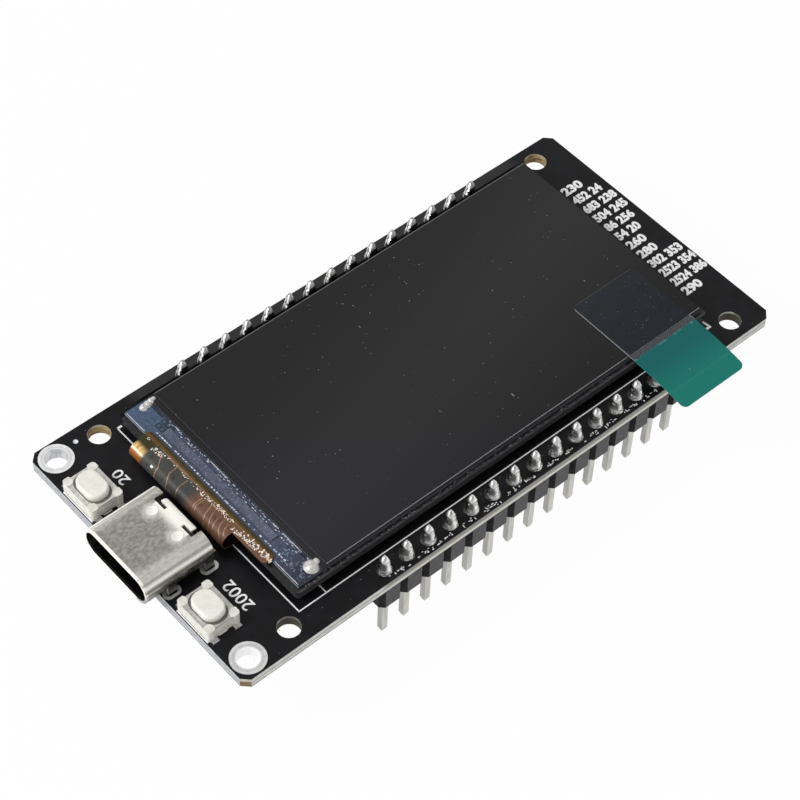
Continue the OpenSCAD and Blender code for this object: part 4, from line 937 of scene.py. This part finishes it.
def scatter(solid, draw, count, place, long, wide, turn, thick=INK_T):
    """Flecks at random: place draws a point, long and wide are ranges of size, turn draws an angle."""
    for _ in range(count):
        point = place()
        solid.fleck(point, (draw.uniform(*long), draw.uniform(*wide)), turn(draw), thick)


# Small print at the board's near edge, more of it between the pins
TEXT_Y = -15.06
ink = Solid()
scatter(ink, rng, 46, lambda: rel(rng.uniform(16, 52), rng.uniform(-15.35, -14.95)),
        long=(0.08, 0.35), wide=(0.06, 0.12), turn=as_text)
for gap in PIN_GAPS:
    middle = Vector((PIN_X + (gap + 0.5) * PITCH, TEXT_Y, BOARD_HIGH.z))
    scatter(ink, marks, 7,
            lambda: middle + Vector((marks.uniform(-0.65, 0.65), marks.uniform(-0.15, 0.15), 0)),
            long=(0.1, 0.32), wide=(0.06, 0.11), turn=as_text)
ink.piece("edge_marks", INK)

# A filled via, and dust on the mask and on the display's near rim
VIA, VIA_R = (4.28, 14.18), 0.24
via = Solid()
via.disc(rel(*VIA), VIA_R)
via.piece("filled_via", GLINT)
dust = Solid()
scatter(dust, rng, 60, lambda: rel(rng.uniform(1, 62.5), rng.choice((-1, 1)) * rng.uniform(12.9, 15.2)),
        long=(0.04, 0.12), wide=(0.03, 0.07), turn=any_way)
scatter(dust, rng, 150,
        lambda: Vector((rng.uniform(-24, 24), rng.uniform(RIM_LOW.y + 0.06, RIM_LOW.y + 0.34), RIM_HIGH.z)),
        long=(0.06, 0.25), wide=(0.04, 0.09), turn=any_way)
dust.piece("mask_dust", DUST)

# Copper lines on the flex, over the bend: millimetres past its start, and Y
TRACES = (
    ((-0.5, 6.65), (0.35, 5.95), (1.4, 5.85)),
    ((-0.9, 4.85), (0.0, 4.75), (0.8, 4.25), (1.6, 4.2)),
    ((-0.8, 3.1), (0.25, 3.05), (1.0, 2.9), (1.6, 2.8)),
    ((-0.6, 0.75), (0.35, 0.75), (0.9, 0.55), (1.6, 0.5)),
    ((-0.6, 0.5), (0.35, 0.5), (0.9, 0.3), (1.6, 0.25)),
    ((-0.8, -0.4), (0.3, -0.7), (1.0, -1.1), (1.6, -1.2)),
    ((-0.8, -0.9), (0.0, -1.25), (0.8, -1.7), (1.6, -1.9)),
    ((-0.3, -1.8), (0.1, -1.95), (0.6, -2.1), (1.4, -2.6)),
    ((-0.9, -2.3), (0.0, -2.45), (0.5, -2.8), (0.9, -3.3)),
    ((-0.6, -2.9), (0.05, -3.1), (0.5, -3.5)),
)
CROSS_TRACES = (((-1.12, 7.4), (-1.12, -7.3)), ((-0.98, 6.2), (-0.98, 2.4)))
TRACE_W, CROSS_TRACE_W = 0.1, 0.07
copper = Solid()
for corners in TRACES:
    copper.strap(*flex_path(corners), TRACE_W, INK_T)
for corners in CROSS_TRACES:
    copper.strap(*flex_path(corners, step=1.0), CROSS_TRACE_W, INK_T)
copper.piece("flex_traces", FLEX_COPPER)

# Bright solder specks on the flex: the two ends of each row, its spread and its count, none past LAST_S
GROUPS = (
    ((-0.95, 9.1), (-0.95, 8.9), 0.1, 4),
    ((-0.6, 7.9), (-0.68, 6.5), 0.22, 26),
    ((-0.8, 3.8), (-0.8, 3.7), 0.03, 1),
    ((-0.82, 1.3), (-0.95, -0.4), 0.14, 24),
    ((-0.8, -0.4), (-0.8, -0.5), 0.1, 3),
    ((-1.05, -0.6), (-0.98, -3.0), 0.17, 40),
    ((-0.5, -3.4), (-0.9, -8.3), 0.14, 70),
    ((-0.95, -3.9), (-1.15, -8.3), 0.15, 22),
)
LAST_S = -0.3
PAD_S, PAD_Y, PAD_W = 0.7, (6.35, 6.65), 0.22


def in_group(first, last, spread):
    """A point on the flex along a row of specks."""
    share = rng.random()
    s = first[0] + (last[0] - first[0]) * share + rng.uniform(-spread, spread)
    return on_flex(min(s, LAST_S), first[1] + (last[1] - first[1]) * share)[0]


gilt = Solid()
for first, last, spread, count in GROUPS:
    scatter(gilt, rng, count, lambda: in_group(first, last, spread),
            long=(0.08, 0.26), wide=(0.07, 0.16), turn=any_way, thick=SPECK_T)
scatter(gilt, marks, 16, lambda: on_flex(marks.uniform(-1.1, -0.75), marks.uniform(1.5, 6.3))[0],
        long=(0.05, 0.14), wide=(0.05, 0.09), turn=any_way, thick=SPECK_T)
gilt.strap(*zip(*[on_flex(PAD_S, y) for y in PAD_Y]), PAD_W, SPECK_T)
gilt.piece("flex_specks", SPECK)

# Contact bumps on the ledge: a nearly full row by the flex, a broken one by the panel, and painted highlights
# on lit glass edges
ROW_FROM_Y, ROW_TO_Y = 9.2, -9.0
FLEX_ROW_X, FLEX_ROW_SHARE = 9.72, 0.85
PANEL_ROW_X, PANEL_ROW_SHARE = (10.95, 11.2), 0.5
LIT_EDGES = (
    (11.4, 3.6, 1.1), (11.4, 8.6, 8.1), (11.4, 6.9, 6.6), (11.4, -5.2, -6.0), (11.38, -6.6, -9.2),
    (8.98, 12.6, 10.0), (8.98, -8.5, -11.6),
)
LIT_EDGE_W = 0.06
bumps = Solid()
y = ROW_FROM_Y
while y > ROW_TO_Y:
    length = rng.uniform(0.08, 0.3)
    if rng.random() < FLEX_ROW_SHARE:
        ends = rel(FLEX_ROW_X, y, LEDGE_Z), rel(FLEX_ROW_X, y - length, LEDGE_Z)
        bumps.line(*ends, rng.uniform(0.08, 0.15))
    if rng.random() < PANEL_ROW_SHARE:
        x = rng.uniform(*PANEL_ROW_X)
        bumps.line(rel(x, y, LEDGE_Z), rel(x, y - length, LEDGE_Z), rng.uniform(0.05, 0.1))
    y -= length + rng.uniform(0.05, 0.25)
for x, y0, y1 in LIT_EDGES:
    bumps.line(rel(x, y0, LEDGE_Z), rel(x, y1, LEDGE_Z), LIT_EDGE_W)
# Painted glints: small bright flecks along the front glass's edge
scatter(bumps, rng, 120, lambda: rel(rng.uniform(11.26, 11.42), rng.uniform(-11.4, 10.6), LEDGE_Z),
        long=(0.05, 0.2), wide=(0.03, 0.06), turn=as_row, thick=PRINT_T)
bumps.piece("ledge_bumps_and_glints", GLINT)

# Pale spots on the ledge's near end and on the driver chip
CHIP_X = CHIP_LOW.x + 0.1, CHIP_HIGH.x - 0.1
CHIP_Y = CHIP_LOW.y + 0.2, CHIP_HIGH.y - 0.2
spots = Solid()
scatter(spots, rng, 110, lambda: rel(rng.uniform(9.5, 11.3), rng.uniform(-11.6, -8.0), LEDGE_Z),
        long=(0.08, 0.3), wide=(0.05, 0.1), turn=as_print, thick=PRINT_T)
scatter(spots, rng, 220, lambda: Vector((rng.uniform(*CHIP_X), rng.uniform(*CHIP_Y), CHIP_HIGH.z)),
        long=(0.04, 0.16), wide=(0.03, 0.06), turn=as_print, thick=PRINT_T)
spots.piece("glass_spots", GLASS_SPOT)

# Dark print on the ledge: two rows of three open squares, and bars at both of its ends
SQUARE_X, SQUARE_Y, SQUARE, SQUARE_STEP = ((10.1, 10.55), (10.75, 11.2)), 9.9, 0.4, 0.55
BAR_X, BAR_Y = 11.2, ((10.2, 11.9), (-9.2, -9.9), (-10.4, -11.2))
SQUARE_W, BAR_W = 0.1, 0.2
prints = Solid()
for i in range(3):
    for x0, x1 in SQUARE_X:
        y0 = SQUARE_Y - SQUARE_STEP * i
        corners = [rel(x, y, LEDGE_Z) for x, y in ((x0, y0), (x1, y0), (x1, y0 - SQUARE), (x0, y0 - SQUARE))]
        for a, b in zip(corners, corners[1:] + corners[:1]):
            prints.line(a, b, SQUARE_W, PRINT_T)
for y0, y1 in BAR_Y:
    prints.line(rel(BAR_X, y0, LEDGE_Z), rel(BAR_X, y1, LEDGE_Z), BAR_W, PRINT_T)
prints.piece("ledge_prints", DARK_PRINT)

# The floor, which the camera and mirrors see as white paper
FLOOR_SIZE, FLOOR_DROP = 6, 0.00002
bpy.ops.mesh.primitive_plane_add(size=FLOOR_SIZE, location=(0, 0, cad_box[0].z - FLOOR_DROP))
floor = bpy.context.object
floor.name = "floor"
s = Shader("floor")
s.set(Base_Color=s.ramp(s.noise(0.01), (0.8, 0.8, 0.8), (0.84, 0.84, 0.84)), Roughness=0.9)
glow = s.add("ShaderNodeEmission")
glow.inputs["Strength"].default_value = 1.0
blend = s.add("ShaderNodeMixShader")
rays = s.add("ShaderNodeLightPath").outputs
seen = s.either(rays["Is Camera Ray"], s.either(rays["Is Glossy Ray"], rays["Is Transmission Ray"]))
s.join(s.both(seen, 0.97), blend.inputs[0])
s.join(s.bsdf.outputs["BSDF"], blend.inputs[1])
s.join(glow.outputs["Emission"], blend.inputs[2])
s.join(blend.outputs["Shader"], s.tree.nodes["Material Output"].inputs["Surface"])
floor.data.materials.append(s.material)


def room():
    """A white room with a dimmer ceiling, which the display mirrors."""
    world = bpy.data.worlds.new("room")
    world.use_nodes = True
    nodes, link = world.node_tree.nodes, world.node_tree.links.new
    way = nodes.new("ShaderNodeSeparateXYZ")
    link(nodes.new("ShaderNodeTexCoord").outputs["Generated"], way.inputs["Vector"])

    def spread(value, start, end, low, high):
        node = nodes.new("ShaderNodeMapRange")
        node.interpolation_type = "SMOOTHSTEP"
        link(value, node.inputs["Value"])
        for key, number in zip(("From Min", "From Max"), (start, end)):
            node.inputs[key].default_value = number
        for key, number in zip(("To Min", "To Max"), (low, high)):
            if hasattr(number, "is_output"):
                link(number, node.inputs[key])
            else:
                node.inputs[key].default_value = number
        return node.outputs["Result"]

    dim, bright, far, wall = 0.36, 0.66, 0.46, 1.0
    ceiling = spread(way.outputs["Y"], 0.40, 0.458, dim, bright)
    ceiling = spread(way.outputs["Y"], 0.458, 0.50, ceiling, far)
    link(spread(way.outputs["Z"], 0.25, 0.7, wall, ceiling), nodes["Background"].inputs["Strength"])
    nodes["Background"].inputs["Color"].default_value = (1, 1, 1, 1)
    return world


def area_light(name, place, aim, size, power):
    data = bpy.data.lights.new(name, "AREA")
    data.shape = "RECTANGLE"
    data.size, data.size_y = size
    data.energy = power
    lamp = bpy.data.objects.new(name, data)
    lamp.location = place
    lamp.rotation_euler = (Vector(aim) - Vector(place)).to_track_quat("-Z", "Y").to_euler()
    bpy.context.collection.objects.link(lamp)


area_light("key", place=(-0.30, 0.12, 0.33), aim=(0, 0, 0), size=(0.16, 0.16), power=1.3)

# The camera, as fitted to the photo's pins, holes and corners
LENS, SENSOR = 108.917, 36
CAMERA_PLACE = Vector((-97.7207, -102.4543, 174.2044))
CAMERA_TURN = Quaternion((0.885475, 0.305796, -0.127711, -0.325749))
camera_data = bpy.data.cameras.new("camera")
camera_data.lens = LENS
camera_data.sensor_width = SENSOR
camera_data.clip_start = 0.01
camera = bpy.data.objects.new("camera", camera_data)
camera.rotation_mode = "QUATERNION"
camera.location = CAMERA_PLACE * MM
camera.rotation_quaternion = CAMERA_TURN
bpy.context.collection.objects.link(camera)
scene = bpy.context.scene
scene.world = room()
scene.camera = camera
scene.view_settings.view_transform = "Standard"
